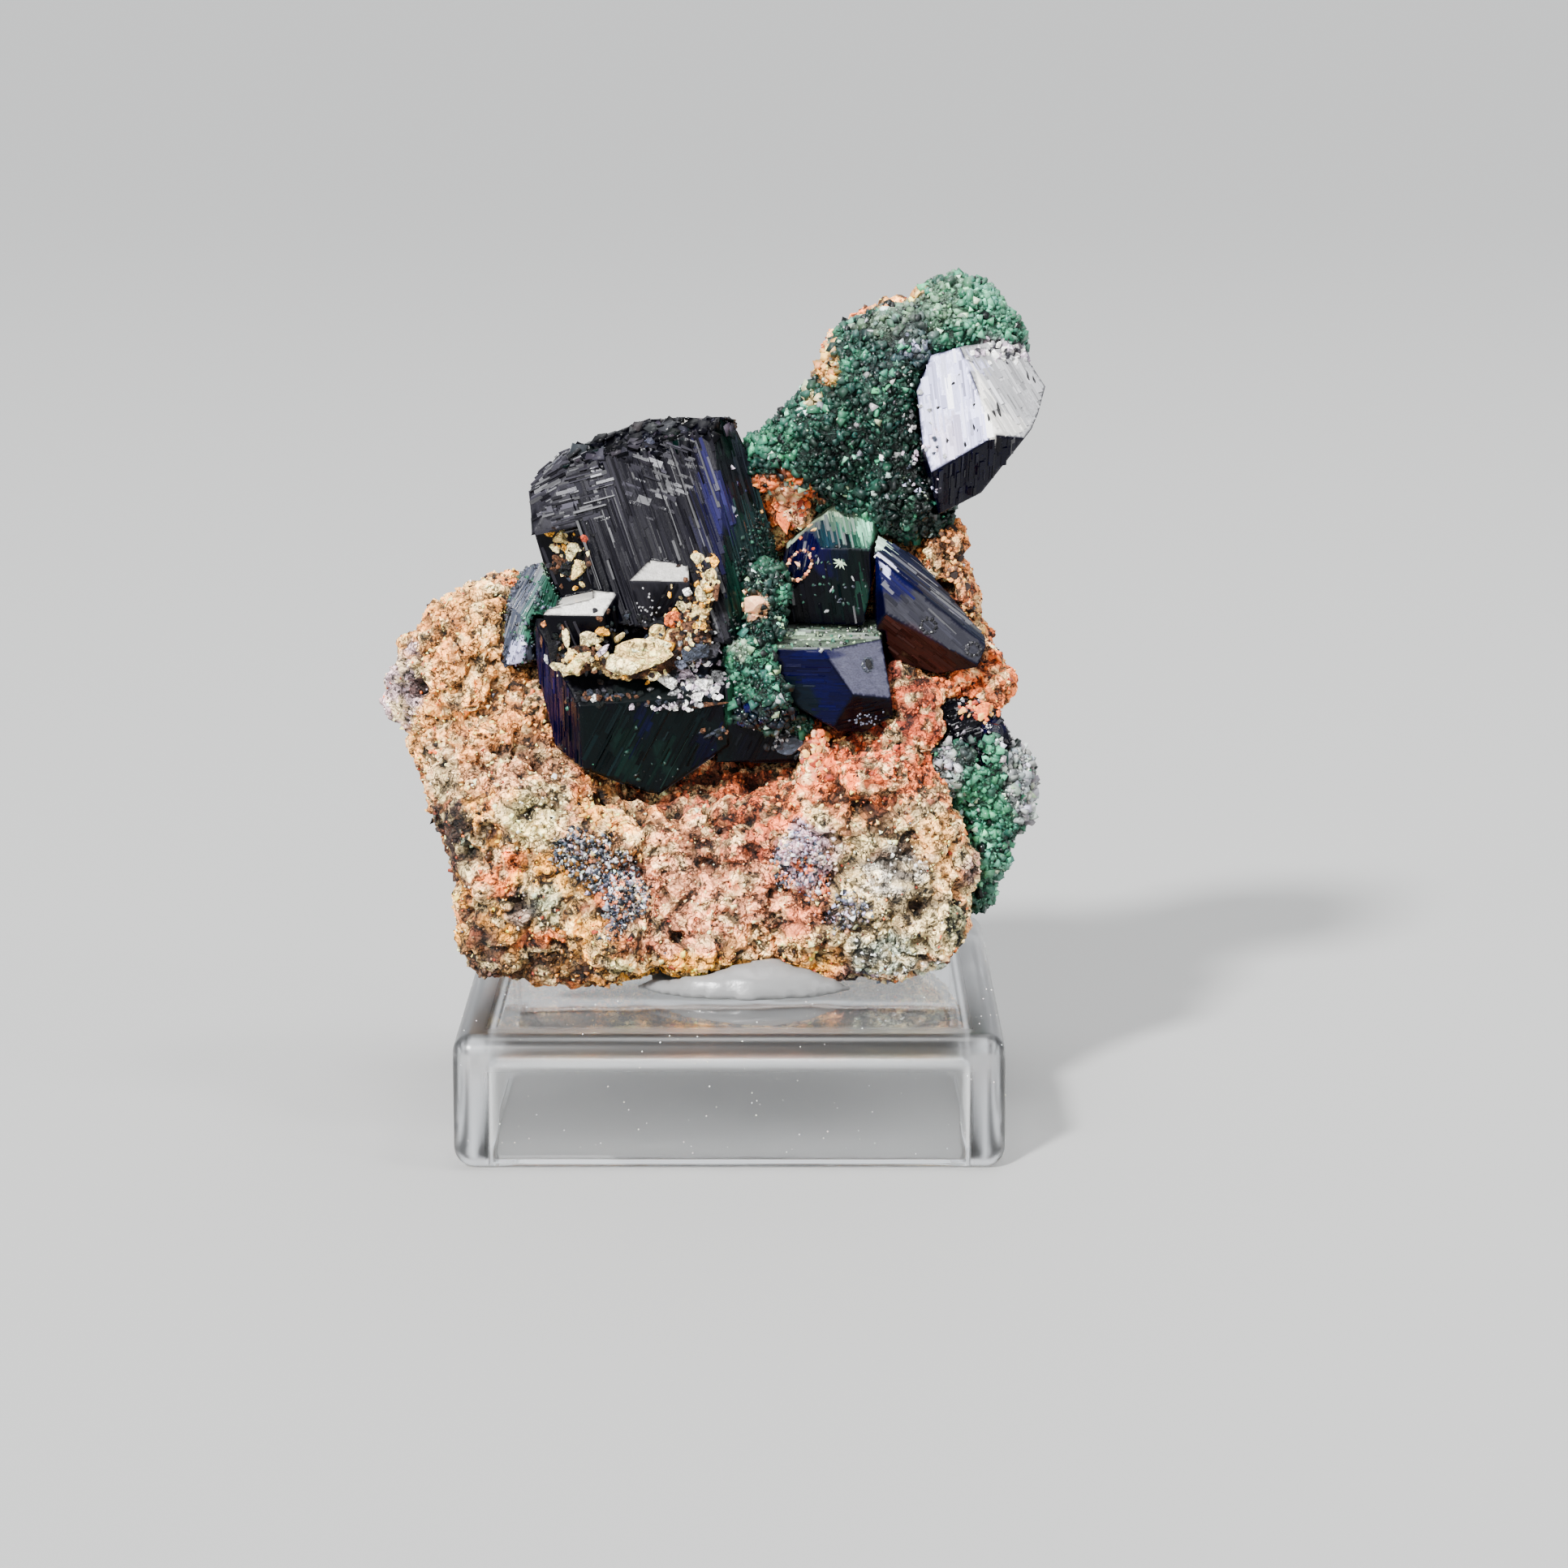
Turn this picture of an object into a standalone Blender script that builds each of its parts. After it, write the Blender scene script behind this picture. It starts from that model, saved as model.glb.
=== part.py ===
"""Azurite crystals and malachite on a lump of orange gossan, tacked onto a clear moulded display base.

Run it in Blender 4.5, from the text editor or with: blender --background --python part.py
Sizes are written in millimetres and multiplied by MM, because Blender works in metres.
+X is the viewer's right, +Y points away from the viewer and +Z is up. The shapes are laid out
around the centre of the base's foot, and the last step moves the whole so that the origin is
below the middle of its bounding box.
"""

import math

import bmesh
import bpy
from mathutils import Matrix, Vector, noise

MM = 0.001
GAP = 0.3  # clearance between neighbouring pieces
SEAT_EXTRA = 0.16  # further clearance in the seat of a rough piece
SEAT_VOXEL = 0.35
SEAT_KEPT = 0.14  # share of a seat's faces that is kept
PAD_SEAT_KEPT = 0.07  # the same, for the stone's seat in the putty

# Display base: a thin-walled box, open underneath, with every outer edge rounded.
BASE_SIDE = 32.0
BASE_HEIGHT = 8.0
BASE_WALL = 2.0
BASE_LID = 1.6
BASE_ROUND = 1.2
CAVITY_ROUND = 0.7

# Mounting putty: a flattened pad between the base and the stone.
PUTTY_CENTRE = (1.0, -1.0)
PUTTY_RADII = (8.5, 7.5)
PUTTY_HEIGHT = 3.2
PUTTY_SIDES = 28
PUTTY_RINGS = 5

# Stone: how finely its lumps are fused, how rough it is and how many triangles are kept.
VOXEL = 0.55
ROUGH_LARGE = (0.9, 5.0)  # height and wavelength of the lumps
ROUGH_SMALL = (0.45, 1.7)  # height and wavelength of the pits and knobs
STONE_TRIANGLES = 3650
CRUST_TRIANGLES = {"malachite_crest": 1180, "malachite_cushion": 580, "malachite_side": 600}
CLAY_TRIANGLES = 240
STONE_SEED = 1
CRUST_SEED = 3
CLAY_SEED = 9

# Front outlines, as (x, z) points, with the depth range (front, back) and the rim's rounding.
STONE_SLABS = (
    # body, from the floor of the pocket to the back
    (((-15.8, 12.5), (-14.5, 9.6), (-10.0, 8.6), (-3.0, 8.8), (1.5, 9.6), (7.0, 8.6), (12.0, 9.4),
      (14.2, 12.5), (15.2, 18.0), (15.6, 23.0), (14.0, 27.0), (8.0, 28.5), (0.0, 28.0), (-8.0, 27.0),
      (-13.0, 25.5), (-16.8, 19.5)), (-1.8, 10.5), 3.0),
    # the bulging foot in front of the pocket
    (((-16.6, 13.0), (-16.0, 10.2), (-14.2, 9.0), (-11.5, 8.35), (-7.0, 8.3), (-3.0, 8.6), (1.3, 9.7),
      (5.0, 8.8), (8.5, 8.3), (11.5, 9.0), (13.9, 10.8), (14.5, 14.0), (13.6, 18.0), (11.4, 22.2),
      (8.0, 22.4), (4.0, 20.6), (-1.0, 19.2), (-6.0, 19.4), (-11.0, 21.0), (-16.0, 20.0)), (-7.2, 2.0), 2.8),
    # the lobe on the left
    (((-17.6, 16.4), (-18.8, 20.2), (-19.9, 22.6), (-20.9, 24.6), (-20.2, 26.4), (-18.8, 28.1),
      (-17.2, 29.4), (-15.8, 30.9), (-13.4, 31.2), (-11.6, 28.5), (-10.5, 23.5), (-12.0, 17.5)), (0.6, 9.6), 2.6),
    # the column on the right
    (((11.5, 21.0), (15.2, 21.5), (16.2, 24.6), (16.0, 26.4), (15.2, 28.6), (14.8, 31.2), (14.0, 33.6),
      (13.7, 35.4), (12.4, 35.7), (11.2, 34.2), (9.6, 31.5), (9.0, 25.0)), (-0.6, 6.8), 1.5),
    # the spur behind the crest
    (((-1.0, 26.0), (0.8, 33.0), (1.5, 37.2), (3.0, 39.0), (4.9, 42.4), (5.2, 44.2), (6.2, 45.8), (7.5, 47.0),
      (9.3, 48.0), (11.4, 47.6), (13.4, 46.0), (14.0, 43.0), (12.4, 38.5), (11.6, 33.0), (11.0, 26.0)),
     (3.4, 8.6), 1.8),
)
# Lumps fused to the stone, as (centre, radii).
STONE_LUMPS = (
    ((-15.0, -1.2, 19.5), (3.6, 3.4, 4.0)),
    ((-16.8, 3.0, 26.5), (3.4, 3.6, 3.6)),
    ((-13.0, -4.2, 14.0), (3.6, 3.0, 3.4)),
    ((-7.5, -5.6, 13.2), (3.6, 2.6, 3.4)),
    ((-1.5, -5.6, 15.2), (4.6, 2.4, 3.6)),
    ((5.0, -5.2, 12.8), (3.6, 2.8, 3.0)),
    ((10.5, -3.8, 13.4), (3.6, 3.2, 3.6)),
    ((9.5, -3.6, 19.8), (3.6, 2.8, 2.8)),
    ((5.0, -3.6, 22.2), (0.9, 0.9, 1.9)),
    ((10.8, -2.2, 23.6), (2.0, 2.2, 2.4)),
    ((15.2, 0.6, 25.6), (1.4, 1.8, 2.2)),
    ((14.6, 1.6, 28.8), (1.1, 1.2, 1.2)),
    ((13.9, 1.4, 31.6), (1.0, 1.1, 1.1)),
    ((13.2, 1.2, 34.4), (1.1, 1.2, 1.1)),
    ((3.4, 2.6, 36.6), (2.0, 1.8, 1.8)),
    ((-11.0, 7.6, 12.6), (4.4, 3.6, 3.9)),
    ((-3.6, 9.6, 15.6), (5.4, 3.0, 5.0)),
    ((3.6, 8.8, 12.4), (4.6, 3.4, 3.8)),
    ((11.0, 7.4, 14.8), (3.6, 3.8, 5.0)),
    ((-13.4, 8.6, 21.6), (3.9, 3.0, 3.6)),
    ((6.6, 9.8, 20.6), (5.2, 2.8, 4.4)),
    ((-5.6, 9.0, 24.6), (5.4, 3.0, 4.4)),
    ((-4.8, 7.4, 31.6), (5.2, 3.4, 5.2)),
    ((2.0, 8.0, 30.0), (4.2, 3.0, 4.6)),
    ((11.4, 6.4, 25.4), (3.4, 3.2, 4.2)),
    ((7.6, 7.8, 33.0), (3.4, 2.8, 4.6)),
    ((5.8, 7.4, 39.6), (2.8, 2.2, 3.4)),
    ((10.4, 7.8, 42.6), (3.2, 2.2, 3.6)),
)
# Hollows in the stone, as (centre, radius, depth), pushed towards its upright middle line.
STONE_MIDDLE = (-1.0, 2.0)
STONE_HOLLOWS = (
    ((-1.4, -7.0, 15.6), 1.6, 1.3),
    ((-9.4, -6.6, 11.6), 1.8, 0.8),
    ((7.6, -6.4, 16.4), 2.0, 0.8),
    ((3.2, -7.4, 11.0), 1.6, 0.7),
    ((-16.0, 0.6, 22.6), 1.8, 0.9),
    ((-12.6, -4.6, 17.6), 1.8, 0.8),
    ((10.8, -4.4, 17.0), 1.5, 0.8),
    ((0.0, 12.0, 20.0), 3.0, 2.2),
    ((-9.6, 11.0, 17.6), 2.4, 1.6),
    ((9.4, 11.0, 16.4), 2.2, 1.5),
    ((6.4, 9.4, 37.0), 2.0, 1.2),
)
# Malachite crusts, as lumps of (centre, radii).
CRUST_LUMPS = {
    "malachite_crest": (
        ((3.6, 1.8, 39.4), (2.4, 3.0, 1.9)),
        ((6.0, 1.6, 40.6), (3.0, 3.6, 3.2)),
        ((8.6, 1.6, 42.4), (3.6, 3.8, 4.2)),
        ((7.8, 2.2, 44.6), (2.2, 3.2, 2.5)),
        ((10.4, 2.4, 45.8), (3.0, 3.6, 2.8)),
        ((13.3, 2.6, 47.4), (2.7, 3.4, 2.7)),
        ((15.6, 2.0, 46.0), (2.0, 2.8, 2.2)),
        ((10.4, 1.2, 38.2), (3.0, 3.0, 3.2)),
        ((12.8, 2.4, 41.8), (3.2, 3.2, 3.6)),
        ((15.6, 2.6, 42.8), (2.2, 2.2, 3.0)),
        ((7.6, 1.8, 37.6), (2.6, 2.2, 1.8)),
    ),
    "malachite_cushion": (
        ((1.9, -1.0, 31.4), (1.3, 2.6, 2.2)),
        ((1.5, -3.6, 28.0), (1.9, 2.2, 2.2)),
        ((2.5, -4.4, 26.0), (2.0, 1.9, 2.0)),
        ((1.7, -3.8, 24.9), (2.0, 2.0, 1.6)),
        ((3.2, -2.6, 24.6), (2.0, 2.6, 1.8)),
    ),
    "malachite_side": (
        ((14.0, -0.8, 21.4), (2.7, 3.0, 2.8)),
        ((15.9, 0.2, 19.0), (2.9, 3.2, 3.2)),
        ((15.0, 0.0, 16.4), (2.2, 2.9, 2.7)),
        ((14.7, 0.4, 14.0), (1.4, 2.2, 2.1)),
    ),
}
# Cream clay lying on the ledge of the large azurite, as lumps of (centre, radii).
CLAY_LUMPS = (
    ((-5.4, -5.3, 28.0), (2.5, 1.7, 1.5)),
    ((-8.3, -5.3, 28.4), (1.8, 1.3, 1.1)),
    ((-2.6, -5.0, 29.4), (1.9, 1.5, 1.9)),
    ((-1.3, -4.7, 31.8), (1.1, 1.3, 1.8)),
)

# Crystals. Each has its depth range (front, back), an outline and its front faces.
# The outline's points (x, z, lean) run clockwise as the viewer sees them, at the depth given last.
# The lean belongs to the side face that starts at the point: 90 runs straight back, less than 90
# widens towards the back, and more than 90 narrows.
# A front face is a point on it (x, y, z), then its azimuth and elevation. Azimuth 0 looks at the
# viewer and 90 to the right; elevation is above the horizon.
CRYSTALS = {
    "lower_block": ((-9.0, 2.5), (
        (-11.8, 28.7, 85), (-11.2, 30.6, 101), (-1.2, 30.8, 90), (0.2, 26.6, 94), (0.2, 23.4, 88),
        (-0.2, 22.9, 90), (-4.3, 20.0, 90), (-4.9, 20.1, 90), (-10.5, 22.4, 90), (-11.7, 27.2, 92)), -4.5, (
        ((-5.0, -5.5, 23.5), 7, -10), ((-9.4, -5.0, 24.0), -62, -8), ((-5.0, -5.3, 26.5), 3, 42),
        ((0.0, -4.4, 24.0), 62, 0))),
    "upper_block": ((-8.0, 6.5), (
        (-12.0, 37.6, 90), (-9.1, 40.1, 96), (-4.9, 41.8, 101), (0.0, 41.8, 95), (1.1, 39.4, 98),
        (2.9, 33.4, 90), (2.4, 31.2, 84), (0.5, 28.5, 84), (-9.6, 30.2, 94), (-11.2, 33.4, 94),
        (-11.8, 35.5, 92)), 0.0, (
        ((-3.0, -2.6, 37.5), -8, 14), ((1.9, 1.0, 37.0), 58, 12), ((-2.8, -1.7, 41.1), -25, 54),
        ((-9.6, -2.2, 37.6), -38, 26))),
    "upper_step": ((-9.0, 0.0), (
        (-8.0, 36.0, 90), (-2.4, 36.0, 95), (-2.4, 29.0, 90), (-8.0, 29.0, 90)), -4.6, (
        ((-4.2, -4.6, 32.75), -3, 50), ((-4.2, -4.6, 32.75), -4, -10), ((-6.1, -4.6, 32.9), -136, -4))),
    "lower_step": ((-9.0, 0.0), (
        (-12.0, 34.0, 90), (-6.0, 34.0, 95), (-6.0, 27.0, 90), (-12.0, 27.0, 90)), -4.6, (
        ((-9.0, -4.9, 30.75), -6, 50), ((-9.0, -4.9, 30.75), -6, -14), ((-11.2, -4.9, 30.5), -128, -6),
        ((-7.4, -4.9, 30.6), 55, 4), ((-8.4, -3.3, 32.0), 165, 35))),
    "corner_lump": ((-7.0, 0.0), (
        (-0.8, 24.2, 95), (1.7, 24.9, 98), (4.0, 24.0, 90), (4.2, 21.6, 80), (-0.8, 21.6, 90)), -3.0, (
        ((1.8, -4.2, 23.3), 12, -8), ((3.4, -3.6, 23.4), 50, 20))),
    "azurite_left": ((-4.0, 3.6), (
        (-13.6, 29.5, 88), (-13.2, 31.3, 90), (-12.2, 32.9, 98), (-10.9, 33.2, 95), (-9.8, 31.5, 90),
        (-10.6, 27.6, 85), (-12.5, 27.2, 84), (-13.7, 26.9, 90)), 0.0, (
        ((-12.4, -0.8, 31.0), -18, 27), ((-11.6, -1.0, 30.4), 26, 6), ((-12.8, -1.2, 28.6), -34, 4),
        ((-12.5, -1.3, 27.9), -5, -22))),
    "azurite_coated": ((-4.0, 3.6), (
        (3.3, 33.9, 90), (4.7, 35.3, 90), (7.2, 37.3, 98), (9.4, 36.9, 90), (8.8, 34.0, 90),
        (8.4, 29.0, 80), (2.6, 28.6, 85), (2.5, 31.0, 90)), 0.0, (
        ((6.5, -0.9, 34.8), -6, 48), ((6.0, -1.3, 32.0), -5, -4), ((3.7, -0.4, 33.0), -46, 22),
        ((8.5, -1.0, 32.0), 80, 2), ((3.2, -0.9, 30.6), -52, -10))),
    "azurite_wedge": ((-5.0, 1.6), (
        (8.6, 34.3, 90), (8.9, 35.1, 98), (11.2, 33.8, 96), (15.1, 29.1, 92), (15.2, 28.5, 88),
        (14.6, 27.2, 82), (12.4, 26.8, 80), (9.8, 27.6, 82), (8.7, 29.4, 88)), -2.0, (
        ((12.0, -3.0, 29.9), 10, 18), ((13.1, -0.9, 31.4), 50, 46), ((9.0, -2.9, 31.0), -60, 2),
        ((11.8, -3.1, 28.9), -21, -32))),
    "azurite_tabular": ((-8.0, 0.8), (
        (0.3, 29.3, 90), (0.8, 30.6, 101), (8.7, 30.6, 90), (9.5, 26.0, 92), (9.7, 24.5, 86),
        (8.0, 23.6, 82), (5.9, 23.7, 80), (3.8, 25.2, 80), (0.4, 27.2, 88)), -4.0, (
        ((5.0, -5.1, 27.0), -8, -8), ((7.0, -4.9, 27.5), 32, 18), ((7.8, -4.8, 25.6), 24, -24),
        ((5.0, -5.0, 28.8), 2, 82), ((2.6, -4.6, 27.0), -48, -6))),
    "azurite_crest": ((-8.0, 1.4), (
        (11.0, 43.8, 90), (11.9, 45.8, 94), (13.7, 46.4, 101), (16.8, 47.0, 94), (18.8, 43.9, 92),
        (18.2, 42.4, 88), (17.6, 41.2, 84), (14.9, 37.7, 82), (12.4, 36.4, 86), (11.4, 40.0, 90)), -2.0, (
        ((14.6, -3.6, 43.8), -18, 22), ((14.6, -3.6, 43.8), 38, 35), ((15.6, -4.9, 41.4), 25, -40))),
    "azurite_side": ((-5.0, 2.0), (
        (12.0, 23.4, 92), (12.6, 25.0, 98), (14.7, 25.0, 96), (16.0, 24.3, 94), (17.0, 22.3, 90),
        (14.8, 21.2, 84), (12.6, 21.6, 88)), -1.0, (
        ((14.5, -2.8, 23.3), 4, 28), ((15.8, -1.9, 23.2), 48, 12), ((13.2, -2.4, 22.6), -35, -12))),
}
MAIN_BLOCKS = ("lower_block", "upper_block", "upper_step", "lower_step", "corner_lump")
SINGLE_CRYSTALS = (
    "azurite_left", "azurite_coated", "azurite_wedge", "azurite_tabular", "azurite_crest", "azurite_side")
BLANK_SIDE = 60.0  # width and height of the block that a crystal is cut from
# Ledges broken out of the top left of the large azurite, as (centre, size, turn about Y in degrees).
LEDGES = (
    ((-10.8, -3.0, 33.2), (4.6, 4.4, 4.2), -12),
    ((-8.6, -2.9, 40.6), (7.0, 5.2, 1.5), -26),
    ((-4.8, -2.8, 42.0), (6.4, 4.4, 1.4), -10),
    ((-11.6, -3.2, 36.5), (2.6, 3.4, 0.5), -8),
)

# Colours, as (red, green, blue, roughness)
AZURITE = (0.02, 0.03, 0.18, 0.12)
MALACHITE = (0.02, 0.22, 0.11, 0.55)
GOSSAN = (0.66, 0.36, 0.20, 0.85)
CLAY = (0.82, 0.66, 0.42, 0.9)
PUTTY = (0.75, 0.76, 0.76, 0.4)
PLASTIC = (0.9, 0.91, 0.92, 0.05)


def scaled(point):
    """A point written in millimetres, as a vector in metres."""
    return Vector(point) * MM


def clear_scene():
    for obj in list(bpy.data.objects):
        bpy.data.objects.remove(obj)


def new_object(name, mesh, collection):
    obj = bpy.data.objects.new(name, mesh)
    collection.objects.link(obj)
    return obj


def finish_bmesh(bm, name, collection):
    bmesh.ops.recalc_face_normals(bm, faces=bm.faces)
    mesh = bpy.data.meshes.new(name)
    bm.to_mesh(mesh)
    bm.free()
    return new_object(name, mesh, collection)


def material(name, colour):
    mat = bpy.data.materials.new(name)
    mat.use_nodes = True
    shader = mat.node_tree.nodes["Principled BSDF"]
    shader.inputs["Base Color"].default_value = (*colour[:3], 1.0)
    shader.inputs["Roughness"].default_value = colour[3]
    return mat


def paint(obj, mat):
    obj.data.materials.clear()
    obj.data.materials.append(mat)


def baked(obj):
    """Replaces the object's mesh with what its modifiers make of it."""
    bpy.context.view_layer.update()
    graph = bpy.context.evaluated_depsgraph_get()
    mesh = bpy.data.meshes.new_from_object(obj.evaluated_get(graph))
    obj.modifiers.clear()
    obj.data = mesh
    return obj


def boolean(obj, other, operation):
    cut = obj.modifiers.new(operation.lower(), "BOOLEAN")
    cut.operation = operation
    cut.object = other
    cut.solver = "EXACT"
    cut.use_self = True
    baked(obj)


def seat_of(obj, collection, kept=SEAT_KEPT):
    """A smoothed copy that stands clear of the rough piece all round, to cut its seat with."""
    bm = bmesh.new()
    bm.from_mesh(obj.data)
    bmesh.ops.triangulate(bm, faces=bm.faces)
    bm.normal_update()
    moves = [(v, v.normal * (GAP + SEAT_EXTRA) * MM) for v in bm.verts]
    for vert, move in moves:
        vert.co += move
    seat = finish_bmesh(bm, obj.name + "_seat", collection)
    remesh = seat.modifiers.new("close", "REMESH")
    remesh.mode = "VOXEL"
    remesh.voxel_size = SEAT_VOXEL * MM
    fewer = seat.modifiers.new("fewer", "DECIMATE")
    fewer.ratio = kept
    fewer.use_collapse_triangulate = True
    return baked(seat)


def facing(azimuth, elevation):
    a, e = math.radians(azimuth), math.radians(elevation)
    return Vector((math.sin(a) * math.cos(e), -math.cos(a) * math.cos(e), math.sin(e)))


def leaning(start, end, lean):
    """The normal of a side face along an outline's edge, turned from the viewer by that many degrees."""
    along = (end - start).normalized()
    viewer = Vector((0, -1, 0))
    outwards = viewer.cross(along).normalized()
    turn = math.radians(lean)
    return viewer * math.cos(turn) + outwards * math.sin(turn)


def crystal(name, collection, clearance=0.0):
    """A block cut down by the flat faces that CRYSTALS lists for it, each moved out by the clearance."""
    (front, back), outline, depth, faces = CRYSTALS[name]
    corners = [scaled((x, depth, z)) for x, z, _ in outline]
    leans = [lean for _, _, lean in outline]
    middle = sum(corners, Vector()) / len(corners)
    middle.y = (front + back) / 2 * MM
    planes = [(scaled(point), facing(azimuth, elevation)) for point, azimuth, elevation in faces]
    for start, end, lean in zip(corners, corners[1:] + corners[:1], leans):
        planes.append((start, leaning(start, end, lean)))
    bm = bmesh.new()
    size = scaled((BLANK_SIDE, back - front + 2 * clearance, BLANK_SIDE)).to_4d()
    bmesh.ops.create_cube(bm, size=1.0, matrix=Matrix.Translation(middle) @ Matrix.Diagonal(size))
    for point, normal in planes:
        cut = bmesh.ops.bisect_plane(
            bm, geom=bm.verts[:] + bm.edges[:] + bm.faces[:], dist=1e-7,
            plane_co=point + normal * clearance * MM, plane_no=normal, clear_outer=True)
        rim = [e for e in cut["geom_cut"] if isinstance(e, bmesh.types.BMEdge)]
        bmesh.ops.contextual_create(bm, geom=rim)
    return finish_bmesh(bm, name, collection)


def ellipsoid(bm, centre, radii, detail=3):
    place = Matrix.Translation(scaled(centre)) @ Matrix.Diagonal((*scaled(radii), 1.0))
    bmesh.ops.create_icosphere(bm, subdivisions=detail, radius=1.0, matrix=place)


def slab(outline, depth, rounding, collection):
    """A smooth front outline given depth, with rounded rims, as a mesh."""
    curve = bpy.data.curves.new("slab", "CURVE")
    curve.dimensions = "2D"
    curve.fill_mode = "BOTH"
    curve.resolution_u = 3
    spline = curve.splines.new("BEZIER")
    spline.use_cyclic_u = True
    spline.bezier_points.add(len(outline) - 1)
    for point, (x, z) in zip(spline.bezier_points, outline):
        point.co = scaled((x, z, 0))
        point.handle_left_type = point.handle_right_type = "AUTO"
    front, back = depth
    curve.bevel_depth = rounding * MM
    curve.bevel_resolution = 3
    curve.offset = -rounding * MM
    curve.extrude = ((back - front) / 2 - rounding) * MM
    guide = new_object("slab", curve, collection)
    guide.location = scaled((0, (front + back) / 2, 0))
    guide.rotation_euler = (math.radians(90), 0, 0)
    bpy.context.view_layer.update()
    graph = bpy.context.evaluated_depsgraph_get()
    mesh = bpy.data.meshes.new_from_object(guide.evaluated_get(graph))
    mesh.transform(guide.matrix_world)
    bpy.data.objects.remove(guide)
    return mesh


def roughened(obj, height, wavelength, seed):
    """Moves each point along its normal by smooth noise."""
    mesh = obj.data
    shift = Vector((seed * 7.3, seed * 3.1, seed * 5.7))
    moves = [
        v.normal * height * MM * noise.noise(v.co / (wavelength * MM) + shift) for v in mesh.vertices]
    for vert, move in zip(mesh.vertices, moves):
        vert.co += move
    mesh.update()


def hollowed(obj, hollows):
    """Pushes the surface level inwards around each hollow's centre, deepest in the middle."""
    mesh = obj.data
    for centre, radius, depth in hollows:
        middle = scaled(centre)
        inwards = (scaled((*STONE_MIDDLE, centre[2])) - middle).normalized()
        for vert in mesh.vertices:
            near = 1.0 - (vert.co - middle).length / (2 * radius * MM)
            if near > 0.0:
                vert.co += inwards * depth * MM * near * near * (3.0 - 2.0 * near)
    mesh.update()


def fused(name, meshes, lumps, triangles, seed, collection, hollows=()):
    """Joins meshes and lumps into one rough closed body of about that many triangles."""
    bm = bmesh.new()
    for mesh in meshes:
        bm.from_mesh(mesh)
    for centre, radii in lumps:
        ellipsoid(bm, centre, radii)
    bmesh.ops.remove_doubles(bm, verts=bm.verts, dist=0.001 * MM)
    obj = finish_bmesh(bm, name, collection)
    remesh = obj.modifiers.new("fuse", "REMESH")
    remesh.mode = "VOXEL"
    remesh.voxel_size = VOXEL * MM
    smooth = obj.modifiers.new("soften", "SMOOTH")
    smooth.iterations = 3
    baked(obj)
    hollowed(obj, hollows)
    roughened(obj, *ROUGH_LARGE, seed)
    roughened(obj, *ROUGH_SMALL, seed + 1)
    fewer = obj.modifiers.new("fewer", "DECIMATE")
    fewer.ratio = triangles / sum(len(p.vertices) - 2 for p in obj.data.polygons)
    fewer.use_collapse_triangulate = True
    return baked(obj)


def display_base(parts, cutters):
    bm = bmesh.new()
    bmesh.ops.create_cube(bm, size=1.0)
    bmesh.ops.scale(bm, vec=scaled((BASE_SIDE, BASE_SIDE, BASE_HEIGHT)), verts=bm.verts)
    bmesh.ops.translate(bm, vec=scaled((0, 0, BASE_HEIGHT / 2)), verts=bm.verts)
    bmesh.ops.bevel(
        bm, geom=bm.edges[:], offset=BASE_ROUND * MM, segments=3, profile=0.5, affect="EDGES")
    base = finish_bmesh(bm, "display_base", parts)
    inner = BASE_SIDE - 2 * BASE_WALL
    ceiling = BASE_HEIGHT - BASE_LID
    below = 4.0
    bm = bmesh.new()
    bmesh.ops.create_cube(bm, size=1.0)
    bmesh.ops.scale(bm, vec=scaled((inner, inner, ceiling + below)), verts=bm.verts)
    bmesh.ops.translate(bm, vec=scaled((0, 0, (ceiling - below) / 2)), verts=bm.verts)
    bmesh.ops.bevel(
        bm, geom=bm.edges[:], offset=CAVITY_ROUND * MM, segments=2, profile=0.5, affect="EDGES")
    cavity = finish_bmesh(bm, "cavity", cutters)
    boolean(base, cavity, "DIFFERENCE")
    return base


def top_clearance(cutters):
    """The space up to just above the base's lid, which the stone stays out of."""
    bm = bmesh.new()
    bmesh.ops.create_cube(bm, size=1.0)
    bmesh.ops.scale(bm, vec=scaled((2 * BASE_SIDE, 2 * BASE_SIDE, BASE_HEIGHT)), verts=bm.verts)
    bmesh.ops.translate(bm, vec=scaled((0, 0, BASE_HEIGHT / 2 + GAP)), verts=bm.verts)
    return finish_bmesh(bm, "top_clearance", cutters)


def main_azurite(parts, cutters):
    """The two large intergrown blocks and the two small ones stepped between them."""
    body = crystal(MAIN_BLOCKS[0], parts)
    body.name = "azurite_main"
    for name in MAIN_BLOCKS[1:]:
        boolean(body, crystal(name, cutters), "UNION")
    for centre, size, turn in LEDGES:
        bm = bmesh.new()
        place = Matrix.Translation(scaled(centre)) @ Matrix.Rotation(math.radians(turn), 4, "Y")
        bmesh.ops.create_cube(bm, size=1.0, matrix=place @ Matrix.Diagonal((*scaled(size), 1.0)))
        boolean(body, finish_bmesh(bm, "ledge", cutters), "DIFFERENCE")
    return body


def stone(parts, cutters):
    slabs = [slab(outline, depth, rounding, cutters) for outline, depth, rounding in STONE_SLABS]
    return fused("matrix_rock", slabs, STONE_LUMPS, STONE_TRIANGLES, STONE_SEED, parts, STONE_HOLLOWS)


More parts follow.
